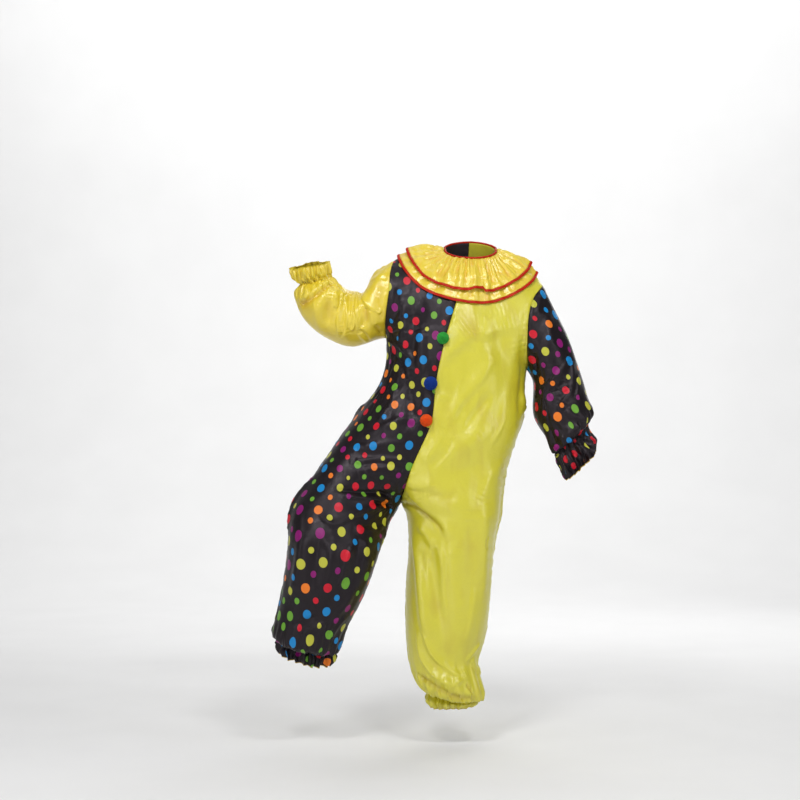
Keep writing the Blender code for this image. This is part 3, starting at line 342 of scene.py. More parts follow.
Tier = namedtuple("Tier", "name binding above below")
TIERS = (
    Tier("collar_lower_tier", "lower_tier_binding", ("collar_upper_tier",), PANELS),
    Tier("collar_upper_tier", "upper_tier_binding", (), ("collar_lower_tier",)),
)
GATHERED_IN = 1.5             # a tier's inner edge is cut this many times as long as it is when sewn
# Gathers of both tiers: how many round the neck, their height, how far from the neck they reach,
# and how unevenly they wander.
Gathers = namedtuple("Gathers", "count height reach wander")
COLLAR_GATHERS = (
    Gathers(27, 0.0074, 0.098, 6.0),
    Gathers(49, 0.0038, 0.066, 8.0),
    Gathers(96, 0.0016, 0.034, 7.0),
)
# How often they change slowly and quickly round the neck and from place to place, and how far
# the last two shift them.  Then how unequal this makes their lengths and their heights.
COLLAR_SLOW, COLLAR_QUICK, COLLAR_BEND, QUICK_SHIFT, BEND_SHIFT = 1.9, 5.0, 22.0, 1.6, 1.3
QUICK_LENGTH, BEND_HEIGHT = 0.7, 0.8
COLLAR_CRUMPLE = 0.0036       # height of the crumple all over both tiers
COLLAR_CRUMPLES = ((1.0, 30.0), (0.7, 62.0), (0.3, 130.0))  # its layers' shares, and how often they change
COLLAR_SHADED = 0.003         # collar cloth that lies this far down gets all of its painted shade
GATHER_VALLEY = 0.60          # how much of a gather's height lies below the cloth
NECK_START, EDGE_FLAT = 0.006, 0.010     # gathers grow from the neck, and die out at the edge
STRIP_RADIUS = 0.25           # how far from the neck the flat strip has its true length
SEAM_UP, SEAM_IN = 0.0014, 0.0022        # where the stitches of a tier's binding lie
BINDING_STRAY, BINDING_STRAY_SCALE = 0.0005, 75.0  # how uneven a folded binding is, and how often
BINDING_SMOOTHING = 2         # its rounds of subdivision
# The upper tier's edge lifts gently between the first two places across, then drops back.
EDGE_STEP = (-0.035, 0.040, 0.051)
EDGE_STEP_HEIGHT, EDGE_STEP_DEPTH = 0.012, 0.030
EDGE_STEP_FORWARD = 0.25      # share of its rise by which the lifted edge comes forward
NECK = (0.006, 0.0)           # x, y of the neck's middle, which the collar's gathers point to

Pompom = namedtuple("Pompom", "name slot color")
POMPOMS = (
    Pompom("pompom_green", "green_plush", "green"),
    Pompom("pompom_blue", "blue_plush", "blue"),
    Pompom("pompom_orange", "orange_plush", "orange"),
)

# A strand's length, its foot and the core's radius, as shares of the pompom's radius; a strand's
# half width in metres; how much strands lean, and how lumpy the core is.
YARN_LONG, YARN_FOOT, CORE_WIDE, YARN_WIDE, YARN_LEAN, CORE_LUMPS = 0.46, 0.55, 0.86, 0.00105, 0.10, 0.06
CORE_LUMP_SCALE = 900         # how often the core's lumps change across it
YARN_SEED = 7                 # of the strands' lean, length and width
YARN_LENGTHS, YARN_WIDTHS = (0.90, 1.06), (0.8, 1.25)    # how much strands vary
GOLDEN_TURN = math.pi * (1 + 5 ** 0.5)   # this turn from each strand to the next spreads them evenly

DOT_TALLNESS = 1.20           # how many times as tall as wide a dot is printed
DOT_STRAY = 0.24              # how far dots stray from an even grid, as a share of their pitch
DOT_EDGE = 0.00035            # half width of a dot's soft edge
# The dots' colours and the share of all dots up to which each is used.
DOT_COLORS = (
    (0.00, (0.54, 0.006, 0.020)),
    (0.18, (0.004, 0.210, 0.520)),
    (0.34, (0.220, 0.004, 0.135)),
    (0.52, (0.470, 0.470, 0.045)),
    (0.70, (0.130, 0.340, 0.028)),
    (0.86, (0.740, 0.180, 0.014)),
)

# How high each layer stands in the finishes.
BROAD_CRUMPLE, FINE_CRUMPLE, THREAD_HEIGHT, TWIST_HEIGHT = 0.0017, 0.00036, 0.000030, 0.00012

CAMERA_AIM = (-0.213, 0.0, -0.444)
CAMERA_DISTANCE = 6.0
CAMERA_LENS = 86.3
FLOOR = -1.52
WALL = 6.5                    # how far behind the garment the backdrop stands
FLOOR_SIZE, WALL_HEIGHT, SWEEP = 24, 14, 2.5
LIT = (-0.15, 0.0, -0.55)     # what the lights face
Light = namedtuple("Light", "name place size power aim")
LIGHTS = (
    Light("key", (-1.1, -3.2, 2.1), (0.8, 0.8), 56, LIT),
    Light("chest", (0.8, -3.0, 2.1), (0.7, 0.45), 42, LIT),
    Light("front_strip", (-1.25, -3.4, -0.3), (0.25, 1.8), 11, LIT),
    Light("right_strip", (2.7, -2.4, 0.4), (0.6, 2.4), 22, LIT),
    Light("left_strip", (-3.0, -1.8, 0.1), (0.6, 2.4), 16, LIT),
    Light("top", (0.1, 0.5, 2.6), (2.2, 2.2), 16, LIT),
    Light("back", (1.4, 3.2, 1.0), (2.0, 2.0), 22, LIT),
    Light("wall", (0.0, 3.0, 3.6), (7.0, 1.0), 240, (0.0, 6.2, 0.6)),
    Light("floor", (0.0, -5.0, 3.6), (7.0, 1.0), 160, (0.0, -10.0, -1.4)),
)
ROOM_LIGHT = (0.21, 0.82)     # the room's brightness on the garment, and as the background seen
# Creases seen from the front are laid on the cloth from the camera's place, and the others from
# straight beside each of their points.
VIEWPOINT = (CAMERA_AIM[0], -CAMERA_DISTANCE, CAMERA_AIM[2])
ASIDE = {"back": (0, CAMERA_DISTANCE, 0), "left": (3, 0, 0), "right": (-3, 0, 0)}


def length_setting(name, description, default):
    """A length that a user may change."""
    return bpy.props.FloatProperty(name=name, description=description, default=default, unit="LENGTH")


def colour_setting(name, description, default):
    """A colour that a user may change."""
    return bpy.props.FloatVectorProperty(
        name=name, description=description, default=default, size=3, subtype="COLOR")


class JumpsuitSizes(bpy.types.PropertyGroup):
    """Sizes of the cloth and its trims."""
    smoothing: bpy.props.IntProperty(
        name="Smoothing", description="Rounds of subdivision on each cloth sheet", default=3, min=1, max=4)
    strands: bpy.props.IntProperty(
        name="Strands", description="Cut ends of yarn on a pompom", default=1900, min=100, max=6000)
    satin: length_setting("Satin", "Thickness of the satin", 0.0006)
    seam_depth: length_setting("Seam depth", "How far the cloth sinks at a seam", 0.0014)
    pucker: length_setting("Puckers", "Height of the puckers beside seams", 0.0011)
    ripple: length_setting("Ripples", "Height of the satin's slow ripples", 0.0024)
    dot_pitch: length_setting("Dot pitch", "Distance between neighbouring dots", 0.0480)
    large_dot: length_setting("Large dots", "Radius of a large dot", 0.0140)
    small_dot: length_setting("Small dots", "Radius of a small dot", 0.0090)
    stitch: length_setting("Stitch", "Length of a sewing stitch", 0.0024)
    stitch_pitch: length_setting("Stitch pitch", "Distance from one stitch to the next", 0.0034)


class JumpsuitColours(bpy.types.PropertyGroup):
    """Colours of the cloth and its trims."""
    yellow: colour_setting("Yellow satin", "The plain half", (0.63, 0.575, 0.030))
    golden: colour_setting("Golden satin", "The plain sleeve", (0.72, 0.56, 0.028))
    collar: colour_setting("Collar satin", "Both tiers of the collar", (0.76, 0.58, 0.040))
    black: colour_setting("Black satin", "The dotted half between its dots", (0.0060, 0.0040, 0.0055))
    binding: colour_setting("Binding", "The folded bindings", (0.46, 0.013, 0.001))
    thread: colour_setting("Golden thread", "Overlocked hems", (0.62, 0.42, 0.07))
    green: colour_setting("Green yarn", "The upper pompom", (0.045, 0.42, 0.065))
    blue: colour_setting("Blue yarn", "The middle pompom", (0.012, 0.055, 0.32))
    orange: colour_setting("Orange yarn", "The lower pompom", (0.90, 0.12, 0.018))


# ---------------------------------------------------------------- mesh helpers
def only(piece):
    """Select one object alone and make it active."""
    bpy.ops.object.select_all(action="DESELECT")
    piece.select_set(True)
    bpy.context.view_layer.objects.active = piece


def read(piece):
    """The places of a mesh's points."""
    places = np.empty(len(piece.data.vertices) * 3)
    piece.data.vertices.foreach_get("co", places)
    return places.reshape(-1, 3)


def read_normals(piece):
    """The normals of a mesh's points."""
    normals = np.empty(len(piece.data.vertices) * 3)
    piece.data.vertices.foreach_get("normal", normals)
    return normals.reshape(-1, 3)


def write(piece, places):
    """Move a mesh's points."""
    piece.data.vertices.foreach_set("co", np.ascontiguousarray(places).ravel())
    piece.data.update()


def apply_all(piece):
    """Apply a piece's modifiers in their order."""
    only(piece)
    for modifier in list(piece.modifiers):
        bpy.ops.object.modifier_apply(modifier=modifier.name)


def dress(piece, material, slot, *nodes):
    """Give a piece its material and body, and hide the nodes that it stands for.  Its slot is not used."""
    piece.data.materials.clear()
    piece.data.materials.append(material)
    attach(piece, "root")
    if nodes:
        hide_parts(*nodes)
    return piece


def new_piece(name, places, faces):
    """A new smooth-shaded piece from its points and faces."""
    mesh = bpy.data.meshes.new(name)
    mesh.from_pydata(places.tolist(), [], faces)
    mesh.shade_smooth()
    piece = bpy.data.objects.new(name, mesh)
    bpy.context.scene.collection.objects.link(piece)
    return piece


def tree_of(places):
    """A search tree of points."""
    tree = KDTree(len(places))
    for k, place in enumerate(places):
        tree.insert(place, k)
    tree.balance()
    return tree


def distances(points, targets):
    """Each point's distance from the nearest of the targets."""
    tree = tree_of(targets)
    return np.array([tree.find(place)[2] for place in points])


def uneven(points, scale, shift=(0, 0, 0)):
    """Smooth noise at each point, from -1 to 1."""
    shift = Vector(shift)
    return np.array([noise.noise(Vector(place) * scale + shift) for place in points])


def uneven_ring(angles, scale, seed):
    """Smooth noise at each angle, from -1 to 1, that joins up all the way round."""
    return np.array([noise.noise(Vector((math.cos(angle) * scale, math.sin(angle) * scale, seed)))
                     for angle in angles])


def eased(share):
    """A share from 0 to 1 with a gentle start and end."""
    return share * share * (3 - 2 * share)


def unit(directions):
    """Directions scaled to a length of one."""
    return directions / np.linalg.norm(directions, axis=1, keepdims=True)


def copy_node(node, name):
    """A copy of a node's mesh with its loose triangles merged, left open in edit mode."""
    piece = bpy.data.objects.new(name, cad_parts[node].data.copy())
    bpy.context.scene.collection.objects.link(piece)
    only(piece)
    bpy.ops.object.mode_set(mode="EDIT")
    bpy.ops.mesh.select_all(action="SELECT")
    bpy.ops.mesh.remove_doubles(threshold=SAME_POINT)
    bpy.ops.mesh.customdata_custom_splitnormals_clear()
    return piece


def join_triangles():
    """Join an edited mesh's triangles into four-sided faces."""
    bpy.ops.mesh.select_all(action="SELECT")
    bpy.ops.mesh.tris_convert_to_quads(face_threshold=FLAT_ENOUGH, shape_threshold=FLAT_ENOUGH)
    bpy.ops.object.mode_set(mode="OBJECT")


def islands(form):
    """The groups of faces that are joined by edges."""
    left, groups = set(form.faces), []
    while left:
        group, stack = [], [left.pop()]
        while stack:
            face = stack.pop()
            group.append(face)
            for edge in face.edges:
                for other in edge.link_faces:
                    if other in left:
                        left.remove(other)
                        stack.append(other)
        groups.append(group)
    return groups


def unpick(node):
    """The outer face of a node's wall, as an open sheet of four-sided faces."""
    piece = copy_node(node, node + "_satin")
    form = bmesh.from_edit_mesh(piece.data)
    rims = [face for face in form.faces if min(edge.calc_length() for edge in face.edges) < RIM]
    bmesh.ops.delete(form, geom=rims, context="FACES")
    edge_points = [vert.co for vert in form.verts if vert.is_boundary]
    middle = sum(edge_points, Vector()) / len(edge_points)

    def outwardness(group):
        """How far a group of faces looks away from the sheet's middle."""
        return sum(face.calc_area() * face.normal.dot(face.calc_center_median() - middle) for face in group)

    groups = sorted(islands(form), key=outwardness)
    bmesh.ops.delete(form, geom=[face for group in groups[:-1] for face in group], context="FACES")
    bmesh.update_edit_mesh(piece.data)
    join_triangles()
    return piece


def edge_chain(piece):
    """For each border point of a sheet, its two neighbours along the border."""
    count = np.zeros(len(piece.data.edges), int)
    index = {tuple(sorted(edge.vertices)): edge.index for edge in piece.data.edges}
    for face in piece.data.polygons:
        for key in face.edge_keys:
            count[index[tuple(sorted(key))]] += 1
    chain = {}
    for edge in piece.data.edges:
        if count[edge.index] == 1:
            first, second = edge.vertices
            chain.setdefault(first, []).append(second)
            chain.setdefault(second, []).append(first)
    return chain


class Borders:
    """The border points of several sheets, and which other sheets each is sewn to."""

    def __init__(self, sheets):
        self.chains = {name: edge_chain(piece) for name, piece in sheets.items()}
        self.places = {name: read(piece) for name, piece in sheets.items()}
        self.all = [(name, index) for name, chain in self.chains.items() for index in chain]
        self.tree = tree_of([self.places[name][index] for name, index in self.all])
        self.sewn = {name: {index: self.near(name, index) for index in chain}
                     for name, chain in self.chains.items()}

    def near(self, name, index):
        """Border points of other sheets that meet this one."""
        found = self.tree.find_range(self.places[name][index], NEIGHBOUR)
        return [self.all[k] for _, k, _ in found if self.all[k][0] != name]

    def turn(self, name, index):
        """How sharply a border turns at one of its points."""
        before, after = self.chains[name][index][:2]
        places = self.places[name]
        first, second = places[index] - places[before], places[after] - places[index]
        cosine = first @ second / (np.linalg.norm(first) * np.linalg.norm(second))
        return math.acos(min(max(cosine, -1), 1))

    def corners(self, name):
        """Points where three sheets meet, or where a sewn border turns."""
        found = []
        for index, meets in self.sewn[name].items():
            others = {other for other, _ in meets}
            if len(others) > 1 or (others and self.turn(name, index) > CORNER_TURN):
                found.append(index)
        return found

    def free(self, name):
        """Border points that are sewn to nothing."""
        return [index for index, meets in self.sewn[name].items() if not meets]

    def hem(self, name):
        """Free border points at a limb's end; a panel is free at the neck too."""
        places = self.places[name]
        return [index for index in self.free(name) if name in SLEEVES or places[index][2] < ANKLE_BELOW]


def smooth_through(piece, corners, levels):
    """Subdivide a mesh so that its smooth surface still passes through its own points."""
    sharpness = piece.data.attributes.get("crease_vert")
    if not sharpness:
        sharpness = piece.data.attributes.new("crease_vert", "FLOAT", "POINT")
    for index in corners:
        sharpness.data[index].value = 1.0
    target = read(piece)
    control = target.copy()
    smoother = piece.modifiers.new("smooth", "SUBSURF")
    smoother.levels = smoother.render_levels = 1
    smoother.uv_smooth = "PRESERVE_BOUNDARIES"
    for _ in range(FITTING_ROUNDS):
        write(piece, control)
        depsgraph = bpy.context.evaluated_depsgraph_get()
        reached = read(piece.evaluated_get(depsgraph))[:len(target)]
        control = control + (target - reached) * FITTING_STEP
    write(piece, control)
    smoother.levels = smoother.render_levels = levels
    apply_all(piece)
    piece.data.shade_smooth()


# ---------------------------------------------------------------- patterns
def cut_line(start, end):
    """The shortest line of edges between two points of a sheet."""
    best, queue, came = {start: 0.0}, [(0.0, start.index, start)], {}
    while queue:
        far, _, vert = heapq.heappop(queue)
        if vert == end:
            break
        for edge in vert.link_edges:
            if edge.is_boundary:
                continue
            other = edge.other_vert(vert)
            step = far + edge.calc_length()
            if step < best.get(other, math.inf):
                best[other] = step
                came[other] = (vert, edge)
                heapq.heappush(queue, (step, other.index, other))
    line = []
    while end != start:
        end, edge = came[end]
        line.append(edge)
    return line


def lay_flat(piece, along, cut=None):
    """Unwrap a sheet into its flat pattern in metres, with v running down the cloth.

    A tube is first cut open between two of its points.  Returns the width, length and area."""
    only(piece)
    bpy.ops.object.mode_set(mode="EDIT")
    if cut:
        form = bmesh.from_edit_mesh(piece.data)
        form.verts.ensure_lookup_table()
        for edge in cut_line(form.verts[cut[0]], form.verts[cut[1]]):
            edge.seam = True
        bmesh.update_edit_mesh(piece.data)
    bpy.ops.mesh.select_all(action="SELECT")
    bpy.ops.uv.unwrap(method="ANGLE_BASED", margin=0.0)
    bpy.ops.object.mode_set(mode="OBJECT")
    layer = piece.data.uv_layers.active
    layer.name = "cut"
    flat = np.empty(len(layer.data) * 2)
    layer.data.foreach_get("uv", flat)
    flat = flat.reshape(-1, 2)
    spread = sum(abs(polygon_area(flat[list(face.loop_indices)])) for face in piece.data.polygons)
    area = sum(face.area for face in piece.data.polygons)
    flat = flat * math.sqrt(area / spread)
    down = along[loop_points(piece)]
    slope = np.linalg.lstsq(np.column_stack([flat, np.ones(len(flat))]), down, rcond=None)[0][:2]
    slope = slope / np.linalg.norm(slope)
    flat = np.column_stack([flat @ (slope[1], -slope[0]), flat @ slope])
    flat -= flat.min(axis=0)
    layer.data.foreach_set("uv", flat.ravel())
    return float(flat[:, 0].max()), float(flat[:, 1].max()), area


def polygon_area(points):
    """The signed area of a flat polygon."""
    x, y = points[:, 0], points[:, 1]
    return 0.5 * float(x @ np.roll(y, -1) - y @ np.roll(x, -1))


def loop_points(piece):
    """The point at each corner of a mesh's faces."""
    points = np.empty(len(piece.data.loops), int)
    piece.data.loops.foreach_get("vertex_index", points)
    return points


def set_painted_shade(piece, depth):
    """Store how far down a fold each point lies, for the finish to paint shade there."""
    hollow = piece.data.attributes.new("hollow", "FLOAT", "POINT")
    hollow.data.foreach_set("value", np.clip(depth, -1, 1))


# ---------------------------------------------------------------- folds
def curve_through(points, steps):
    """A smooth line through points of any dimension."""
    points = np.asarray(points, float)
    slope = np.gradient(points, axis=0)
    line = []
    for i in range(len(points) - 1):
        for k in range(steps):
            t = k / steps
            line.append((2 * t**3 - 3 * t**2 + 1) * points[i] + (t**3 - 2 * t**2 + t) * slope[i]
                        + (3 * t**2 - 2 * t**3) * points[i + 1] + (t**3 - t**2) * slope[i + 1])
    line.append(points[-1])
    return np.array(line)


def surface_tree(pieces):
    """One tree of several pieces' faces, for casting rays at them."""
    verts, faces = [], []
    for piece in pieces:
        start = len(verts)
        verts += [tuple(place) for place in read(piece)]
        faces += [[start + index for index in face.vertices] for face in piece.data.polygons]
    return BVHTree.FromPolygons(verts, faces)


def laid(crease, tree):
    """A crease's line laid on the cloth: its places and the cloth's normals there."""
    places, normals = [], []
    for across, up in curve_through(crease.line, CREASE_STEPS):
        aim = Vector((across, 0, up) if crease.side in ("front", "back") else (0, across, up))
        start = Vector(VIEWPOINT) if crease.side == "front" else aim + Vector(ASIDE[crease.side])
        place, normal = tree.ray_cast(start, (aim - start).normalized())[:2]
        if place is not None:
            places.append(place)
            normals.append(normal)
    return np.array(places), np.array(normals)


def crease_lift(points, crease, line, normals):
    """How far a crease lifts each of the points."""
    lift = np.zeros(len(points))
    reach = CREASE_REACH * crease.wide
    near = np.all((points > line.min(axis=0) - reach) & (points < line.max(axis=0) + reach), axis=1)
    if not near.any():
        return lift
    tangents = unit(np.gradient(line, axis=0))
    sideways = np.cross(tangents, normals)
    gaps = points[near][:, None] - line[None]
    nearest = (gaps ** 2).sum(axis=2).argmin(axis=1)
    gap = gaps[np.arange(len(nearest)), nearest]
    along = (gap * tangents[nearest]).sum(axis=1)
    beyond = np.where((nearest == 0) | (nearest == len(line) - 1), np.abs(along), 0)
    side = (gap * sideways[nearest]).sum(axis=1)
    apart = np.sqrt(np.maximum((gap ** 2).sum(axis=1) - along ** 2, 0)) * np.where(side < 0, -1, 1)
    steep = 1 + CREASE_STEEPEN * crease.skew * np.tanh(apart / (CREASE_CREST * crease.wide))
    shape = np.exp(-(steep * apart / crease.wide) ** 2)
    share = nearest / (len(line) - 1)
    end = min(0.5, CREASE_END + CREASE_END_WIDER * crease.wide)
    fade = eased(np.clip(np.minimum(share, 1 - share) / end, 0, 1)) * np.exp(-(beyond / crease.wide) ** 2)
    lift[near] = crease.height * shape * fade
    return lift


def form_of(name):
    """What a sheet's creases are listed under."""
    return name if name in SLEEVES else "body"


def lay_creases(sheets):
    """Every crease with its line laid on the cloth, by the sheets that it may cross."""
    trees = {"body": surface_tree([sheets[name] for name in PANELS])}
    trees.update({name: surface_tree([sheets[name]]) for name in SLEEVES})
    lines = [(crease, *laid(crease, trees[crease.on])) for crease in CREASES]
    return {name: [line for line in lines if line[0].on == form_of(name) and len(line[1]) > 2]
            for name in sheets}


def refine(piece, lines, edge_points):
    """Halve the cloth's faces round its sharp creases, away from its edges."""
    sharp = [place for crease, line, _ in lines if crease.wide < SHARP for place in line]
    tree = tree_of(sharp)
    only(piece)
    bpy.ops.object.mode_set(mode="EDIT")
    form = bmesh.from_edit_mesh(piece.data)
    form.verts.ensure_lookup_table()
    kept = {form.verts[index] for index in edge_points}
    near = {vert for vert in form.verts if tree.find(vert.co)[2] < FINE_REACH * SHARP}
    edges = {edge for face in form.faces if not kept.intersection(face.verts) and near.issuperset(face.verts)
             for edge in face.edges}
    bmesh.ops.subdivide_edges(form, edges=list(edges), cuts=1, use_grid_fill=True)
    bmesh.update_edit_mesh(piece.data)
    bpy.ops.object.mode_set(mode="OBJECT")


def fan_lift(points, normals, fans):
    """How far the folds that spread from points lift the cloth: round crests, narrow valleys."""
    lift = np.zeros(len(points))
    for k, fan in enumerate(fans):
        facing = -normals[:, 1] if fan.side == "front" else normals[:, 1]
        away = points[:, [0, 2]] - fan.middle
        far = np.linalg.norm(away, axis=1)
        near = (far < FAN_LIMIT * fan.reach) & (facing > 0)
        facing, far = facing[near], far[near]
        angle = np.arctan2(away[near, 1], away[near, 0])
        seed = 11.0 * k + 3.0
        slow = uneven_ring(angle, FAN_SLOW, seed)
        stray = FAN_STRAY * uneven(points[near], FAN_STRAY_SCALE, (0, 0, seed))
        phase = fan.count * angle + FAN_WANDER * slow + stray
        unequal = FAN_SLOW_LENGTH * slow + FAN_FOLD_LENGTH * np.sin(phase * FAN_FOLD_BEAT)
        reach = fan.reach * (1 + unequal)
        fade = np.exp(-(far / np.maximum(reach, LEAST_REACH)) ** 2)
        fade = fade * np.clip(far / fan.start - FAN_HEART, 0, 1) * np.clip(facing / TURNED_AWAY, 0, 1)
        lift[near] += fan.height * (np.abs(np.sin(phase / 2)) - FAN_VALLEY) * fade
    return lift


def seam_relief(points, seam_points, sizes):
    """The groove along a sheet's seams and the puckers beside it."""
    far = distances(points, seam_points)
    relief = -sizes.seam_depth * np.exp(-(far / SEAM_GROOVE) ** 2)
    close = far < SEAM_REACH
    puckers = PUCKER_BOOST * sizes.pucker * uneven(points[close], PUCKER_SCALE)
    relief[close] += puckers * np.exp(-(far[close] / PUCKER_REACH) ** 2)
    return relief


class Limb:
    """The end of a limb: its hem's middle, the way out through it, and angles round it."""

    def __init__(self, mouth, borders):
        self.mouth = mouth
        hem = np.array([borders.places[name][index] for name in mouth.sheets for index in borders.hem(name)])
        self.middle = hem.mean(axis=0)
        _, _, axes = np.linalg.svd(hem - self.middle)
        cloth = np.vstack([borders.places[name] for name in mouth.sheets])
        near = cloth[np.linalg.norm(cloth - self.middle, axis=1) < LIMB_NEAR]
        self.out = axes[2] if (self.middle - near.mean(axis=0)) @ axes[2] > 0 else -axes[2]
        self.across = axes[0]
        self.third = np.cross(self.out, self.across)

    def measure(self, points):
        """How far up the limb points are, and their angles round it."""
        away = points - self.middle
        return -(away @ self.out), np.arctan2(away @ self.third, away @ self.across)

    def relief(self, points):
        """The gathers that the elastic draws in, with its own grooves."""
        mouth = self.mouth
        up, angle = self.measure(points)
        bunched = uneven_ring(angle, BUNCH, mouth.elastic * 90)
        slow = uneven_ring(angle, WANDER, mouth.elastic * 50)
        phase = angle * mouth.gathers + BUNCH_SHIFT * bunched + WANDER_SHIFT * slow
        above = up - mouth.elastic
        strength = np.exp(-np.maximum(above, 0) / (GATHER_REACH * (1 + GATHER_UNEVEN * bunched)))
        strength = strength * np.clip(up / GATHER_START, GATHER_LEAST, 1)
        swell = SWELL * np.sin(phase * SWELL_BEAT + 2 + 4 * bunched)
        waves = (1 + GATHER_UNEVEN * slow) * np.sin(phase) + swell
        groove = -GROOVE_DEPTH * (np.exp(-((above - GROOVE_APART) / GROOVE_WIDE) ** 2)
                                  + np.exp(-((above + GROOVE_APART) / GROOVE_WIDE) ** 2))
        near = np.linalg.norm(points - self.middle, axis=1) < LIMB_END
        return np.where(near & (up > -BELOW_HEM), mouth.height * waves * strength + groove, 0)

    def sag(self, points):
        """How the elastic draws the cloth in, and how the cloth above puffs out and sags over it."""
        mouth = self.mouth
        up, _ = self.measure(points)
        away = points - self.middle
        outward = away - np.outer(away @ self.out, self.out)
        outward /= np.maximum(np.linalg.norm(outward, axis=1, keepdims=True), NO_LENGTH)
        side = np.array(mouth.side) / np.linalg.norm(mouth.side)
        share = np.clip(0.5 + SAG_SIDED * (outward @ side), SAG_LEAST, 1)
        above = up - mouth.elastic
        rise = eased(np.clip(above / SAG_SHELF, 0, 1))
        rise = rise * np.exp(-(np.maximum(above - SAG_SHELF, 0) / SAG_FADE) ** 2)
        above = np.maximum(above, 0)
        inward = mouth.draw * np.exp(-(above / SAG_SHELF) ** 2)
        push = outward * (mouth.puff * rise * share - inward)[:, None]
        stray = np.column_stack([uneven(points, HEM_STRAY_SCALE, shift) for shift in HEM_STRAY_SHIFTS])
        push += stray * (HEM_STRAY * np.exp(-(above / SAG_FADE) ** 2))[:, None]
        push[:, 2] -= mouth.sag * rise * share
        return np.where((np.linalg.norm(away, axis=1) < LIMB_END)[:, None], push, 0)


def ease(piece, held):
    """Even out a coarse sheet's kinks between neighbouring rows, apart from the held points."""
    places = read(piece)
    ends = np.array([edge.vertices[:] for edge in piece.data.edges])
    count = np.bincount(ends.ravel(), minlength=len(places))[:, None]
    for factor in EASING:
        total = np.zeros_like(places)
        np.add.at(total, ends[:, 0], places[ends[:, 1]])
        np.add.at(total, ends[:, 1], places[ends[:, 0]])
        step = (total / count - places) * factor
        step[held] = 0
        places = places + step
    write(piece, places)


def fold(sheets, borders, creases, limbs, sizes):
    """Crease, ripple, pucker and gather every sheet, moving points that are sewn together alike."""
    lifts, normals = {}, {}
    for name, piece in sheets.items():
        points = borders.places[name]
        normals[name] = read_normals(piece)
        ripple = sizes.ripple * sum(share * uneven(points, scale) for share, scale in RIPPLES)
        ridge = trough = shade = np.zeros(len(points))
        for crease, line, ups in creases[name]:
            lifted = crease_lift(points, crease, line, ups)
            ridge = np.maximum(ridge, lifted)
            trough = np.minimum(trough, lifted)
            shade = shade + lifted * (1 - min(1, SHARP / crease.wide) ** 2)
        relief = ridge + trough
        relief += fan_lift(points, normals[name], [fan for fan in FANS if fan.on == form_of(name)])
        for limb in limbs:
            if name in limb.mouth.sheets:
                relief += limb.relief(points)
        # painted shade: the colour darkens where ripples, creases, fans and gathers sink the cloth; broad
        # creases count for less
        set_painted_shade(piece, (shade - ripple - relief) / SHADED)
        seams = [points[index] for index, meets in borders.sewn[name].items() if meets]
        lifts[name] = hold_back(ripple + relief + seam_relief(points, seams, sizes), points, normals[name],
                                OVER_PANELS)
    for name, piece in sheets.items():
        lift, normal = lifts[name].copy(), normals[name].copy()
        base = borders.places[name].copy()
        for index, meets in borders.sewn[name].items():
            if meets:
                group = [(name, index)] + meets
                normal[index] = sum(normals[other][k] for other, k in group)
                normal[index] /= np.linalg.norm(normal[index])
                lift[index] = sum(lifts[other][k] for other, k in group) / len(group)
                base[index] = sum(borders.places[other][k] for other, k in group) / len(group)
        places = base + normal * lift[:, None]
        for limb in limbs:
            if name in limb.mouth.sheets:
                places += limb.sag(base)
        write(piece, places)


def hold_back(lift, places, normals, above, below=()):
    """Keep lifted cloth clear of the frame's walls above and below it."""
    lift = lift.copy()
    for names, way in ((above, 1), (below, -1)):
        if not names:
            continue
        tree = surface_tree([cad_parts[name] for name in names])
        for k in np.flatnonzero(lift * way > 0):
            far = tree.ray_cast(Vector(places[k]), Vector(normals[k]) * way, CLEAR_WITHIN)[3]
            if far is not None:
                lift[k] = way * min(abs(lift[k]), far * CLEAR)
    return lift


def thicken(piece, thickness, lining):
    """Give a sheet its thickness inwards, with another finish on its inner face."""
    piece.data.materials.append(lining)
    wall = piece.modifiers.new("wall", "SOLIDIFY")
    wall.thickness = thickness
    wall.offset = -1
    wall.use_rim = True
    wall.material_offset = 1
    apply_all(piece)


# ---------------------------------------------------------------- node groups and materials
def new_group(name, inputs, outputs):
    """An empty shader group with its sockets; inputs and outputs are (name, kind, default)."""
    group = bpy.data.node_groups.new(name, "ShaderNodeTree")
    for label, kind, value in inputs:
        socket = group.interface.new_socket(name=label, in_out="INPUT", socket_type=kind)
        if value is not None:
            socket.default_value = value
    for label, kind in outputs:
        group.interface.new_socket(name=label, in_out="OUTPUT", socket_type=kind)
    return group, group.nodes.new("NodeGroupInput"), group.nodes.new("NodeGroupOutput")


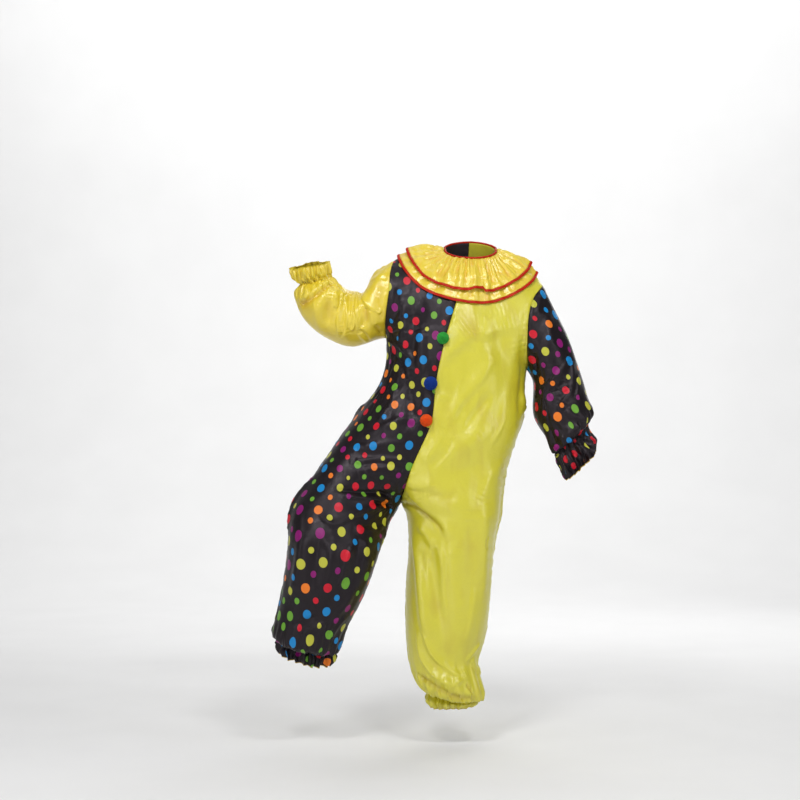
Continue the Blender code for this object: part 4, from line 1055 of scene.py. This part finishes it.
class Wiring:
    """Short ways to add and link nodes in one tree."""

    def __init__(self, tree):
        self.tree = tree

    def node(self, kind, **settings):
        """A new node with its settings."""
        item = self.tree.nodes.new(kind)
        for key, value in settings.items():
            setattr(item, key, value)
        return item

    def feed(self, socket, value):
        """Link a socket to another, or set its value."""
        if isinstance(value, bpy.types.NodeSocket):
            self.tree.links.new(value, socket)
        else:
            socket.default_value = value

    def fill(self, item, values):
        """Feed several of a node's sockets by their names."""
        for name, value in values.items():
            self.feed(item.inputs[name], value)

    def group(self, name, values):
        """A node of a shader group, with its sockets fed."""
        item = self.node("ShaderNodeGroup")
        item.node_tree = bpy.data.node_groups[name]
        self.fill(item, values)
        return item

    def math(self, operation, first, second=0.0):
        """One calculation on numbers."""
        item = self.node("ShaderNodeMath", operation=operation)
        for socket, value in zip(item.inputs, (first, second)):
            self.feed(socket, value)
        return item.outputs[0]

    def vector(self, operation, first, second=(0, 0, 0), scale=None):
        """One calculation on vectors."""
        item = self.node("ShaderNodeVectorMath", operation=operation)
        self.feed(item.inputs[0], first)
        self.feed(item.inputs[1], second)
        if scale is not None:
            self.feed(item.inputs["Scale"], scale)
        return item.outputs["Value" if operation == "LENGTH" else "Vector"]

    def mix(self, factor, first, second, blend="MIX"):
        """Two colours mixed."""
        item = self.node("ShaderNodeMix", data_type="RGBA", blend_type=blend)
        self.feed(item.inputs["Factor"], factor)
        self.feed(item.inputs[6], first)
        self.feed(item.inputs[7], second)
        return item.outputs[2]

    def toned(self, color, tone):
        """A colour made lighter or darker by a number that changes over the surface."""
        return self.mix(1.0, color, self.vector("SCALE", (1, 1, 1), scale=tone), "MULTIPLY")

    def noise(self, vector, scale, detail=2.0, rough=0.5, distortion=0.0):
        """Smooth noise, from 0 to 1."""
        item = self.node("ShaderNodeTexNoise")
        self.fill(item, {"Vector": vector, "Scale": scale, "Detail": detail, "Roughness": rough,
                         "Distortion": distortion})
        return item.outputs[0]

    def ramp(self, factor, low, high, first=0.0, last=1.0):
        """A number carried over from one range to another."""
        item = self.node("ShaderNodeMapRange")
        for socket, value in zip(item.inputs, (factor, low, high, first, last)):
            self.feed(socket, value)
        return item.outputs[0]

    def bump(self, height, strength, distance):
        """A normal tilted by a height."""
        item = self.node("ShaderNodeBump")
        self.fill(item, {"Strength": strength, "Distance": distance, "Height": height})
        return item.outputs["Normal"]


def satin_group():
    """Satin's long floating threads, its crumple, its random tone and the painted shade in its folds, from a
    pattern in metres.
    """
    group, come, go = new_group(
        "Satin surface",
        [("Vector", "NodeSocketVector", None), ("Color", "NodeSocketColor", (1, 1, 1, 1)),
         ("Deep", "NodeSocketColor", (1, 1, 1, 1)), ("Hollow", "NodeSocketFloat", 0.0),
         ("Threads", "NodeSocketFloat", 2400.0), ("Crumple", "NodeSocketFloat", 1.0),
         ("Roughness", "NodeSocketFloat", 0.34)],
        [("Color", "NodeSocketColor"), ("Roughness", "NodeSocketFloat"), ("Normal", "NodeSocketVector")])
    w = Wiring(group)
    given = come.outputs
    vector = given["Vector"]
    threads = w.noise(w.vector("MULTIPLY", vector, (1.0, 0.06, 1.0)), given["Threads"], rough=0.6)
    slub = w.noise(w.vector("MULTIPLY", vector, (1.0, 0.10, 1.0)), 260.0)
    broad = w.noise(w.vector("MULTIPLY", vector, (1.0, 0.42, 1.0)), 24.0, rough=0.40, distortion=0.6)
    fine = w.noise(vector, 95.0, detail=3.0, distortion=0.5)
    height = w.math("ADD", w.math("MULTIPLY", broad, BROAD_CRUMPLE), w.math("MULTIPLY", fine, FINE_CRUMPLE))
    height = w.math("MULTIPLY", height, given["Crumple"])
    for layer in (threads, slub):
        height = w.math("ADD", height, w.math("MULTIPLY", layer, THREAD_HEIGHT))
    normal = w.bump(height, 1.0, 1.0)
    # painted shade: the colour moves towards the darker one by how far the cloth lies down a fold, on top of
    # random tone from the broad crumple
    hollow = w.math("MULTIPLY", given["Hollow"], 0.55)
    shade = w.math("ADD", w.ramp(broad, 0.3, 0.7, -0.25, 0.25), hollow)
    color = w.mix(w.ramp(shade, 0.0, 1.0), given["Color"], given["Deep"])
    color = w.toned(color, w.ramp(threads, 0.3, 0.7, 0.93, 1.05))
    rough = w.math("ADD", given["Roughness"], w.ramp(fine, 0.3, 0.7, -0.04, 0.07))
    w.fill(go, {"Color": color, "Roughness": rough, "Normal": normal})


def dots_group():
    """Scattered large and small polka dots over a base colour, from a pattern in metres."""
    group, come, go = new_group(
        "Polka dots",
        [("Vector", "NodeSocketVector", None), ("Base", "NodeSocketColor", (0, 0, 0, 1)),
         ("Pitch", "NodeSocketFloat", 0.0480), ("Large", "NodeSocketFloat", 0.0140),
         ("Small", "NodeSocketFloat", 0.0090), ("Turn", "NodeSocketFloat", 0.62)],
        [("Color", "NodeSocketColor")])
    w = Wiring(group)
    given = come.outputs
    turned = w.node("ShaderNodeVectorRotate", rotation_type="Z_AXIS")
    narrowed = w.vector("MULTIPLY", given["Vector"], (DOT_TALLNESS, 1.0, 1.0))
    w.fill(turned, {"Vector": narrowed, "Angle": given["Turn"]})
    grid = w.vector("SCALE", turned.outputs[0], scale=w.math("DIVIDE", 1.0, given["Pitch"]))
    cell = w.vector("FLOOR", grid)
    inside = w.vector("SUBTRACT", w.vector("FRACTION", grid), (0.5, 0.5, 0.0))
    stray = w.node("ShaderNodeTexWhiteNoise", noise_dimensions="2D")
    w.feed(stray.inputs["Vector"], cell)
    moved = w.vector("SCALE", w.vector("SUBTRACT", stray.outputs["Color"], (0.5, 0.5, 0.5)), scale=DOT_STRAY)
    gap = w.vector("MULTIPLY", w.vector("SUBTRACT", inside, moved), (1.0, 1.0, 0.0))
    far = w.math("MULTIPLY", w.vector("LENGTH", gap), given["Pitch"])
    split = w.node("ShaderNodeSeparateXYZ")
    w.feed(split.inputs[0], cell)
    both = w.math("ADD", split.outputs[0], split.outputs[1])
    odd = w.math("GREATER_THAN", w.math("FLOORED_MODULO", both, 2.0), 0.5)
    more = w.math("MULTIPLY", odd, w.math("SUBTRACT", given["Large"], given["Small"]))
    size = w.math("ADD", given["Small"], more)
    size = w.math("MULTIPLY", size, w.ramp(stray.outputs["Value"], 0.0, 1.0, 0.86, 1.08))
    dot = w.ramp(w.math("SUBTRACT", far, size), -DOT_EDGE, DOT_EDGE, 1.0, 0.0)
    pick = w.node("ShaderNodeTexWhiteNoise", noise_dimensions="2D")
    w.feed(pick.inputs["Vector"], w.vector("ADD", cell, (17.0, 5.0, 0.0)))
    tint = w.node("ShaderNodeValToRGB")
    tint.color_ramp.interpolation = "CONSTANT"
    for place, _ in DOT_COLORS[2:]:
        tint.color_ramp.elements.new(place)
    for element, (place, color) in zip(tint.color_ramp.elements, DOT_COLORS):
        element.position = place
        element.color = (*color, 1)
    w.feed(tint.inputs[0], pick.outputs["Value"])
    w.feed(go.inputs["Color"], w.mix(dot, given["Base"], tint.outputs[0]))


def principled(name):
    """The wiring and the Principled shader of a new material."""
    material = bpy.data.materials.new(name.replace("_", " "))
    material.use_nodes = True
    return Wiring(material.node_tree), material.node_tree.nodes["Principled BSDF"]


def satin_material(name, color, shade_and_tone, rough, crumple, sheen, gloss, dotted=False):
    """A satin in one colour with painted shade in its folds, plain or dotted."""
    w, shader = principled(name)
    pattern = w.node("ShaderNodeUVMap", uv_map="cut").outputs["UV"]
    hollow = w.node("ShaderNodeAttribute", attribute_name="hollow").outputs["Fac"]
    face = w.group("Satin surface", {"Vector": pattern, "Hollow": hollow, "Color": (*color, 1),
                                     "Deep": (*shade_and_tone, 1), "Crumple": crumple, "Roughness": rough})
    base = face.outputs["Color"]
    if dotted:
        sizes = bpy.context.scene.jumpsuit_sizes
        base = w.group("Polka dots", {"Vector": pattern, "Base": base, "Pitch": sizes.dot_pitch,
                                      "Large": sizes.large_dot, "Small": sizes.small_dot}).outputs["Color"]
        shader.inputs["Specular Tint"].default_value = (1.0, 0.90, 0.98, 1)
    tangent = w.node("ShaderNodeTangent", direction_type="UV_MAP", uv_map="cut").outputs["Tangent"]
    w.fill(shader, {"Base Color": base, "Roughness": face.outputs["Roughness"],
                    "Normal": face.outputs["Normal"], "Tangent": tangent, "Specular IOR Level": gloss,
                    "Sheen Weight": sheen, "Sheen Roughness": 0.35, "Sheen Tint": (1.0, 0.97, 0.94, 1),
                    "Anisotropic": 0.50, "Anisotropic Rotation": 0.25})


def thread_material(name, color, rough=0.55, grain=1800.0):
    """Twisted thread, yarn or folded binding in one colour."""
    w, shader = principled(name)
    place = w.node("ShaderNodeTexCoord").outputs["Object"]
    twist = w.noise(place, grain, rough=0.6)
    slow = w.noise(place, 70.0)
    tone = w.math("MULTIPLY", w.ramp(twist, 0.3, 0.7, 0.86, 1.10), w.ramp(slow, 0.3, 0.7, 0.90, 1.06))
    w.fill(shader, {"Base Color": w.toned((*color, 1), tone),
                    "Roughness": w.ramp(twist, 0.3, 0.7, rough - 0.06, rough + 0.08),
                    "Normal": w.bump(twist, 0.6, TWIST_HEIGHT), "Specular IOR Level": 0.2,
                    "Sheen Weight": 0.25, "Sheen Roughness": 0.4, "Sheen Tint": (*color, 1)})


def scaled(color, factor):
    """A colour made lighter or darker."""
    return tuple(min(value * factor, 1.0) for value in color)


def make_materials(colours):
    """Every finish of the jumpsuit."""
    satin_group()
    dots_group()
    # each satin's second colour is the darker one for its random tone and for the painted shade in its folds
    for name, color, shade_and_tone, rough, crumple, sheen, gloss in (
            ("yellow_satin", colours.yellow, (0.50, 0.38, 0.020), 0.34, 0.9, 0.03, 0.95),
            ("golden_satin", colours.golden, (0.56, 0.34, 0.010), 0.32, 0.6, 0.03, 0.95),
            ("collar_satin", colours.collar, (0.70, 0.38, 0.014), 0.33, 1.7, 0.04, 1.00)):
        satin_material(name, color, shade_and_tone, rough, crumple, sheen, gloss)
        satin_material(name + "_back", scaled(color, 0.8), scaled(shade_and_tone, 0.8), 0.6, 0.6, 0.1, 0.4)
    black = tuple(colours.black)
    satin_material("dotted_satin", black, scaled(black, 0.6), 0.40, 0.9, 0.0, 0.33, dotted=True)
    satin_material("dotted_satin_back", scaled(black, 2.2), black, 0.65, 0.6, 0.1, 0.4)
    thread_material("red_binding", colours.binding, 0.46, 900.0)
    thread_material("red_thread", scaled(colours.binding, 0.75))
    thread_material("golden_thread", colours.thread)
    thread_material("yellow_thread", scaled(colours.golden, 0.85))
    thread_material("black_thread", (0.02, 0.018, 0.018))
    for pompom in POMPOMS:
        thread_material(pompom.slot, getattr(colours, pompom.color), 0.85, 900.0)


def finish(name):
    """The finish of a slot or a trim; the frame's own plain materials keep the slots' names."""
    return bpy.data.materials[name.replace("_", " ")]


# ---------------------------------------------------------------- copies of small things
def pattern_of(piece):
    """A modelled piece's points and faces; the piece itself is removed."""
    pattern = read(piece), [tuple(face.vertices) for face in piece.data.polygons]
    mesh = piece.data
    bpy.data.objects.remove(piece)
    bpy.data.meshes.remove(mesh)
    return pattern


def copies(name, pattern, origins, axes):
    """One mesh of a pattern's copies; axes[i] has the pattern's x, y and z as its columns."""
    points, faces = pattern
    places = np.einsum("nij,vj->nvi", axes, points) + origins[:, None]
    loops = [tuple(index + k * len(points) for index in face) for k in range(len(origins)) for face in faces]
    return new_piece(name, places.reshape(-1, 3), loops)


def stitch_pattern():
    """One sewing stitch, a unit long: a short bead of thread with drawn-in ends."""
    bpy.ops.object.select_all(action="DESELECT")
    bpy.ops.mesh.primitive_uv_sphere_add(segments=4, ring_count=3, radius=0.55)
    piece = bpy.context.active_object
    bpy.ops.object.mode_set(mode="EDIT")
    bpy.ops.transform.rotate(value=math.pi / 2, orient_axis="Y", center_override=(0, 0, 0))
    bpy.ops.object.mode_set(mode="OBJECT")
    return pattern_of(piece)


def spaced(points, ups, pitch):
    """Evenly spaced places along a closed path, with its directions and upright directions."""
    points, ups = np.vstack([points, points[:1]]), np.vstack([ups, ups[:1]])
    along = np.concatenate([[0], np.cumsum(np.linalg.norm(np.diff(points, axis=0), axis=1))])
    count = max(int(along[-1] / pitch), 2)
    wanted = (np.arange(count) + 0.5) * along[-1] / count

    def between(values, places):
        """Values at places along the path."""
        return np.stack([np.interp(places, along, values[:, k]) for k in range(3)], axis=1)

    at = between(points, wanted)
    forward = unit(between(points, wanted + along[-1] * AHEAD) - at)
    up = between(ups, wanted)
    return at, forward, unit(up - forward * (up * forward).sum(axis=1, keepdims=True))


def stitches(name, points, ups, sizes, material, slot):
    """A row of stitches along a closed path."""
    at, forward, up = spaced(points, ups, sizes.stitch_pitch)
    across = np.cross(up, forward)
    axes = np.stack([forward * sizes.stitch, across * STITCH_WIDE, up * STITCH_WIDE], axis=2)
    return dress(copies(name, stitch_pattern(), at, axes), material, slot)


def ring_order(points, middle, across, third):
    """The order of points by their angle round a middle."""
    away = points - middle
    return np.argsort(np.arctan2(away @ third, away @ across))


def tube(name, points, ups, wide, thick, sides=6):
    """A closed flattened tube along a closed path."""
    count = len(points)
    across = np.cross(ups, unit(np.roll(points, -1, axis=0) - np.roll(points, 1, axis=0)))
    rings, faces = [], []
    for k in range(sides):
        angle = 2 * math.pi * k / sides
        rings.append(points + across * math.cos(angle) * wide + ups * math.sin(angle) * thick)
        here, there = k * count, (k + 1) % sides * count
        for i in range(count):
            j = (i + 1) % count
            faces.append((here + i, here + j, there + j, there + i))
    piece = new_piece(name, np.vstack(rings), faces)
    only(piece)
    bpy.ops.object.mode_set(mode="EDIT")
    bpy.ops.mesh.select_all(action="SELECT")
    bpy.ops.mesh.normals_make_consistent(inside=False)
    bpy.ops.object.mode_set(mode="OBJECT")
    return piece


# ---------------------------------------------------------------- operators
class JUMPSUIT_OT_sew_body(bpy.types.Operator):
    """Cut, crease, gather and sew the four panels and the two sleeves"""
    bl_idname = "jumpsuit.sew_body"
    bl_label = "Sew the panels and sleeves"

    def execute(self, context):
        sizes = context.scene.jumpsuit_sizes
        sheets = {name: unpick(name) for name in PANELS + SLEEVES}
        coarse = Borders(sheets)
        for name, piece in sheets.items():
            self.pattern(name, piece, coarse)
            ease(piece, self.held(name, coarse))
            smooth_through(piece, coarse.corners(name), sizes.smoothing)
        creases = lay_creases(sheets)
        for name, piece in sheets.items():
            refine(piece, creases[name], edge_chain(piece))
        borders = Borders(sheets)
        limbs = [Limb(mouth, borders) for mouth in MOUTHS]
        fold(sheets, borders, creases, limbs, sizes)
        self.hem_limbs(sheets, limbs, sizes)
        for name, piece in sheets.items():
            slot = SLOTS[name]
            dress(piece, finish(slot), slot, name)
            thicken(piece, sizes.satin, finish(slot + "_back"))
        return {"FINISHED"}

    def held(self, name, borders):
        """A sheet's points that easing leaves alone: its edges and all that is near a hem."""
        places = borders.places[name]
        far = np.linalg.norm(places[:, None] - places[borders.hem(name)][None], axis=2).min(axis=1)
        return np.array(sorted(set(np.flatnonzero(far < GATHERED)) | set(borders.chains[name])))

    def pattern(self, name, piece, borders):
        """Lay one sheet flat; a sleeve is cut open along its underside first."""
        places = borders.places[name]
        if name not in SLEEVES:
            return lay_flat(piece, -places[:, 2])
        sewn = {index: {other for other, _ in meets} for index, meets in borders.sewn[name].items() if meets}
        corners = [index for index, others in sewn.items() if len(others) > 1]
        underarm = min(corners, key=lambda index: places[index][2])
        outwards = 0 if name == "sleeve_right" else 2
        last = min(borders.free(name), key=lambda index: places[index][outwards])
        armhole = places[list(sewn)].mean(axis=0)
        return lay_flat(piece, np.linalg.norm(places - armhole, axis=1), (underarm, last))

    def hem_limbs(self, sheets, limbs, sizes):
        """Overlock each hem and stitch down each elastic."""
        borders = Borders(sheets)
        for limb in limbs:
            mouth = limb.mouth
            hems = [(borders.places[name], read_normals(sheets[name]), borders.hem(name))
                    for name in mouth.sheets]
            points = np.vstack([places[hem] for places, _, hem in hems])
            ups = np.vstack([normals[hem] for _, normals, hem in hems])
            order = ring_order(points, limb.middle, limb.across, limb.third)
            points, ups = points[order], ups[order]
            points = points - ups * sizes.satin / 2
            thread = finish("golden_thread" if mouth.golden else "yellow_thread")
            slot = SLOTS[mouth.sheets[0]]
            edge = dress(tube(mouth.name + "_hem", points, ups, HEM_WIDE, HEM_THICK), thread, slot)
            at, forward, up = spaced(points, ups, LOOP_PITCH)
            across = np.cross(up, forward)
            slanted = forward * LOOP_SLANT + across
            axes = np.stack([slanted * LOOP_LONG, forward * LOOP_WIDE, up * LOOP_TALL], axis=2)
            loops = dress(copies(mouth.name + "_overlock", stitch_pattern(), at, axes), thread, slot)
            rows = self.elastic(limb, [sheets[name] for name in mouth.sheets], sizes, slot)
            for trim in (edge, loops, *rows):
                trim["sewn_to"] = mouth.sheets[0]

    def elastic(self, limb, pieces, sizes, slot):
        """Two rows of stitches over the elastic."""
        mouth = limb.mouth
        tree = surface_tree(pieces)
        cloth = np.vstack([read(piece) for piece in pieces])
        up, _ = limb.measure(cloth)
        near = np.linalg.norm(cloth - limb.middle, axis=1) < ROW_NEAR
        thread = finish("black_thread" if slot == "dotted_satin" else "yellow_thread")
        rows = []
        for row, shift in enumerate(ELASTIC_ROWS):
            middle = Vector(cloth[near & (np.abs(up - mouth.elastic - shift) < ROW_BAND)].mean(axis=0))
            points, ups = [], []
            for angle in np.linspace(0, 2 * math.pi, ROW_ROUND, endpoint=False):
                aim = Vector(limb.across * math.cos(angle) + limb.third * math.sin(angle))
                place, normal = tree.ray_cast(middle, aim)[:2]
                if place is not None:
                    points.append(place)
                    ups.append(normal if normal.dot(aim) > 0 else -normal)
            ups = np.array(ups)
            path = np.array(points) + ups * ROW_LIFT
            rows.append(stitches(f"{mouth.name}_elastic_{row}", path, ups, sizes, thread, slot))
        return rows


class JUMPSUIT_OT_gather_collar(bpy.types.Operator):
    """Gather both tiers of the collar and bind their edges"""
    bl_idname = "jumpsuit.gather_collar"
    bl_label = "Gather and bind the collar"

    def execute(self, context):
        sizes = context.scene.jumpsuit_sizes
        for tier in TIERS:
            piece = unpick(tier.name)
            smooth_through(piece, (), sizes.smoothing)
            places, normals = read(piece), read_normals(piece)
            around = np.arctan2(places[:, 0] - NECK[0], -(places[:, 1] - NECK[1]))
            self.flat_strip(piece, around, places)
            inner, outer = [self.in_order(places, rim) for rim in self.rims(edge_chain(piece), places)]
            from_edge = distances(places, places[outer])
            lift = self.gathers(places, around, distances(places, places[inner]), from_edge)
            lift = hold_back(lift, places, normals, tier.above, tier.below)
            binding = self.binding(tier.binding)
            if not tier.above:
                places = places + self.step(places, from_edge)
                bound = read(binding)
                write(binding, bound + self.step(bound, 0))
            write(piece, places + normals * lift[:, None])
            # painted shade: the collar's colour darkens where its gathers and crumple sink the cloth
            set_painted_shade(piece, -lift / COLLAR_SHADED)
            dress(piece, finish("collar_satin"), "collar_satin", tier.name)
            edge, ups = places[outer], normals[outer]
            seam = stitches(tier.binding + "_stitches", edge + ups * SEAM_UP - self.outward(edge) * SEAM_IN,
                            ups, sizes, finish("red_thread"), "red_binding")
            thicken(piece, sizes.satin, finish("collar_satin_back"))
        self.binding("neck_binding")
        return {"FINISHED"}

    def outward(self, places):
        """Directions straight out from the neck."""
        away = places - (*NECK, 0)
        away[:, 2] = 0
        return unit(away)

    def in_order(self, places, rim):
        """A rim's points in their order round the neck."""
        return rim[ring_order(places[rim], (*NECK, 0), np.array((0, -1, 0)), np.array((1, 0, 0)))]

    def rims(self, chain, places):
        """Indices of a tier's inner and outer edges."""
        indices = np.array(list(chain))
        away = np.linalg.norm(places[indices][:, :2] - NECK, axis=1)
        start = indices[away.argmin()]
        inner, last, here = [start], None, start
        while True:
            after = [k for k in chain[here] if k != last][0]
            last, here = here, after
            if here == start:
                break
            inner.append(here)
        inner = np.array(inner)
        return inner, np.setdiff1d(indices, inner)

    def step(self, places, from_edge):
        """The upper tier's stepped edge at the front, dying out away from the edge."""
        low, high, end = EDGE_STEP
        rise = np.clip((places[:, 0] - low) / (high - low), 0, 1)
        drop = 1 - np.clip((places[:, 0] - high) / (end - high), 0, 1)
        height = EDGE_STEP_HEIGHT * eased(rise) * eased(drop)
        height = height * np.exp(-(from_edge / EDGE_STEP_DEPTH) ** 2) * (places[:, 1] < 0)
        return np.column_stack([np.zeros(len(places)), -EDGE_STEP_FORWARD * height, height])

    def cut_size(self, piece, inner, outer):
        """The length and width of the curved strip that a tier is gathered from."""
        neck, edge = [np.linalg.norm(rim - np.roll(rim, 1, axis=0), axis=1).sum() for rim in (inner, outer)]
        width = 2 * sum(face.area for face in piece.data.polygons) / (neck + edge)
        return (edge + GATHERED_IN * neck) / 2, width

    def gathers(self, places, around, from_neck, from_edge):
        """Puffed folds with narrow valleys, alike in both tiers so that they nest."""
        lift = np.zeros(len(around))
        for k, gather in enumerate(COLLAR_GATHERS):
            slow = uneven_ring(around, COLLAR_SLOW, 5.0 * k)
            quick = uneven_ring(around, COLLAR_QUICK, 5.0 * k + 2)
            bend = uneven(places, COLLAR_BEND, (0, 0, 9.0 * k))
            phase = gather.count * around + gather.wander * slow + QUICK_SHIFT * quick + BEND_SHIFT * bend
            reach = np.maximum(gather.reach * (1 + QUICK_LENGTH * quick), LEAST_REACH)
            fade = np.exp(-(from_neck / reach) ** 3) * np.clip(from_neck / NECK_START, GATHER_LEAST, 1)
            shape = np.abs(np.sin(phase / 2)) - GATHER_VALLEY
            lift += gather.height * (1 + BEND_HEIGHT * bend) * shape * fade
        crumple = sum(share * uneven(places, scale) for share, scale in COLLAR_CRUMPLES)
        return (lift + COLLAR_CRUMPLE * crumple) * np.clip(from_edge / EDGE_FLAT, 0, 1)

    def flat_strip(self, piece, around, places):
        """Lay the tier out as the straight strip that it was gathered from."""
        layer = piece.data.uv_layers.active or piece.data.uv_layers.new()
        layer.name = "cut"
        away = np.linalg.norm(places[:, :2] - NECK, axis=1)
        corners = loop_points(piece)
        turn = around[corners]
        for face in piece.data.polygons:
            loop = list(face.loop_indices)
            if turn[loop].max() - turn[loop].min() > math.pi:
                turn[loop] = np.where(turn[loop] < 0, turn[loop] + 2 * math.pi, turn[loop])
        layer.data.foreach_set("uv", np.column_stack([turn * STRIP_RADIUS, away[corners]]).ravel())

    def binding(self, node):
        """Round a binding's corners and give it the folded strip's slight unevenness."""
        piece = copy_node(node, node + "_folded")
        join_triangles()
        smooth_through(piece, (), BINDING_SMOOTHING)
        places = read(piece)
        stray = uneven(places, BINDING_STRAY_SCALE) * BINDING_STRAY
        write(piece, places + read_normals(piece) * stray[:, None])
        return dress(piece, finish("red_binding"), "red_binding", node)


class JUMPSUIT_OT_tie_pompoms(bpy.types.Operator):
    """Cut and trim the three yarn pompoms"""
    bl_idname = "jumpsuit.tie_pompoms"
    bl_label = "Tie the pompoms"

    def execute(self, context):
        count = context.scene.jumpsuit_sizes.strands
        rng = np.random.default_rng(YARN_SEED)
        for pompom in POMPOMS:
            low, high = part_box(pompom.name)
            middle = np.array((low + high) / 2)
            radius = max(high - low) / 2
            k = np.arange(count) + 0.5
            slant = np.arccos(1 - 2 * k / count)
            turn = GOLDEN_TURN * k
            level = np.sin(slant)
            aim = np.column_stack([np.cos(turn) * level, np.sin(turn) * level, np.cos(slant)])
            lean = unit(aim + rng.normal(0, YARN_LEAN, aim.shape))
            side = unit(np.cross(lean, rng.normal(0, 1, aim.shape)))
            long = radius * YARN_LONG * rng.uniform(*YARN_LENGTHS, (count, 1))
            wide = YARN_WIDE * rng.uniform(*YARN_WIDTHS, (count, 1))
            axes = np.stack([side * wide, np.cross(lean, side) * wide, lean * long], axis=2)
            strands = copies(pompom.name + "_yarn", self.strand(), middle + aim * radius * YARN_FOOT, axes)
            core = self.core(pompom.name + "_core", middle, radius * CORE_WIDE)
            only(core)
            strands.select_set(True)
            bpy.context.view_layer.objects.active = strands
            bpy.ops.object.join()
            dress(strands, finish(pompom.slot), pompom.slot, pompom.name)
        return {"FINISHED"}

    def strand(self):
        """One cut end of yarn, a unit long, a little wider at its frayed tip."""
        bpy.ops.object.select_all(action="DESELECT")
        bpy.ops.mesh.primitive_cone_add(
            vertices=3, radius1=0.42, radius2=0.66, depth=1, location=(0, 0, 0.5))
        piece = bpy.context.active_object
        bpy.ops.object.transform_apply(location=True)
        return pattern_of(piece)

    def core(self, name, middle, radius):
        """The bound middle that the strands stand on."""
        bpy.ops.object.select_all(action="DESELECT")
        bpy.ops.mesh.primitive_ico_sphere_add(subdivisions=3, radius=radius)
        piece = bpy.context.active_object
        piece.name = name
        places = read(piece)
        write(piece, places * (1 + CORE_LUMPS * uneven(places, CORE_LUMP_SCALE)[:, None]) + middle)
        piece.data.shade_smooth()
        return piece


class JUMPSUIT_OT_set_stage(bpy.types.Operator):
    """Lay the pale floor and set the lights and camera"""
    bl_idname = "jumpsuit.set_stage"
    bl_label = "Set the stage"

    def execute(self, context):
        scene = context.scene
        self.backdrop()
        for light in LIGHTS:
            self.hang(light)
        world = bpy.data.worlds.new("studio")
        world.use_nodes = True
        w = Wiring(world.node_tree)
        seen = w.node("ShaderNodeLightPath").outputs["Is Camera Ray"]
        w.fill(world.node_tree.nodes["Background"],
               {"Strength": w.ramp(seen, 0.0, 1.0, *ROOM_LIGHT), "Color": (1.0, 1.0, 1.0, 1)})
        scene.world = world
        scene.view_settings.view_transform = "Standard"
        lens = bpy.data.cameras.new("camera")
        lens.lens = CAMERA_LENS
        lens.sensor_width = 36
        lens.clip_end = 60
        camera = bpy.data.objects.new("camera", lens)
        scene.collection.objects.link(camera)
        self.face(camera, VIEWPOINT, CAMERA_AIM)
        scene.camera = camera
        return {"FINISHED"}

    def face(self, item, place, aim):
        """Put a light or camera in its place and turn it towards its aim."""
        item.location = place
        item.rotation_euler = (Vector(aim) - item.location).to_track_quat("-Z", "Y").to_euler()

    def backdrop(self):
        """A pale floor that sweeps up into a wall behind the garment."""
        bpy.ops.object.select_all(action="DESELECT")
        bpy.ops.mesh.primitive_plane_add(size=FLOOR_SIZE, location=(0, WALL - FLOOR_SIZE / 2, FLOOR))
        piece = bpy.context.active_object
        piece.name = "studio_floor"
        bpy.ops.object.transform_apply(location=True)
        bpy.ops.object.mode_set(mode="EDIT")
        form = bmesh.from_edit_mesh(piece.data)
        back = [edge for edge in form.edges if all(vert.co.y > 0 for vert in edge.verts)]
        wall = bmesh.ops.extrude_edge_only(form, edges=back)["geom"]
        top = [item for item in wall if isinstance(item, bmesh.types.BMVert)]
        bmesh.ops.translate(form, verts=top, vec=(0, 0, WALL_HEIGHT))
        bmesh.ops.bevel(form, geom=back, offset=SWEEP, segments=24, affect="EDGES", profile=0.5)
        bmesh.ops.recalc_face_normals(form, faces=form.faces)
        bmesh.update_edit_mesh(piece.data)
        bpy.ops.object.mode_set(mode="OBJECT")
        piece.data.shade_smooth()
        w, shader = principled("pale_floor")
        place = w.node("ShaderNodeTexCoord").outputs["Object"]
        tone = w.ramp(w.noise(place, 3.0), 0.3, 0.7, 0.80, 0.82)
        w.fill(shader, {"Base Color": w.vector("SCALE", (1, 1, 1), scale=tone), "Roughness": 0.9})
        piece.data.materials.append(finish("pale_floor"))

    def hang(self, light):
        """Hang one rectangular soft light."""
        lamp = bpy.data.lights.new(light.name, "AREA")
        lamp.shape = "RECTANGLE"
        lamp.size, lamp.size_y = light.size
        lamp.energy = light.power
        item = bpy.data.objects.new(light.name, lamp)
        bpy.context.scene.collection.objects.link(item)
        self.face(item, light.place, light.aim)


class JUMPSUIT_PT_tools(bpy.types.Panel):
    """The jumpsuit's operators and sizes"""
    bl_label = "Clown jumpsuit"
    bl_idname = "JUMPSUIT_PT_tools"
    bl_space_type = "VIEW_3D"
    bl_region_type = "UI"
    bl_category = "Jumpsuit"

    def draw(self, context):
        for operator in OPERATORS:
            self.layout.operator(operator.bl_idname)
        for settings in (context.scene.jumpsuit_sizes, context.scene.jumpsuit_colours):
            box = self.layout.box()
            for key in settings.__annotations__:
                box.prop(settings, key)


OPERATORS = (JUMPSUIT_OT_sew_body, JUMPSUIT_OT_gather_collar, JUMPSUIT_OT_tie_pompoms, JUMPSUIT_OT_set_stage)
CLASSES = (JumpsuitSizes, JumpsuitColours) + OPERATORS + (JUMPSUIT_PT_tools,)


def register():
    """Add the settings, operators and panel."""
    for item in CLASSES:
        bpy.utils.register_class(item)
    bpy.types.Scene.jumpsuit_sizes = bpy.props.PointerProperty(type=JumpsuitSizes)
    bpy.types.Scene.jumpsuit_colours = bpy.props.PointerProperty(type=JumpsuitColours)


def unregister():
    """Take them away again."""
    del bpy.types.Scene.jumpsuit_sizes
    del bpy.types.Scene.jumpsuit_colours
    for item in reversed(CLASSES):
        bpy.utils.unregister_class(item)


def main():
    """Make the whole jumpsuit and its stage."""
    register()
    make_materials(bpy.context.scene.jumpsuit_colours)
    bpy.ops.jumpsuit.sew_body()
    bpy.ops.jumpsuit.gather_collar()
    bpy.ops.jumpsuit.tie_pompoms()
    bpy.ops.jumpsuit.set_stage()


if __name__ == "__main__":
    main()
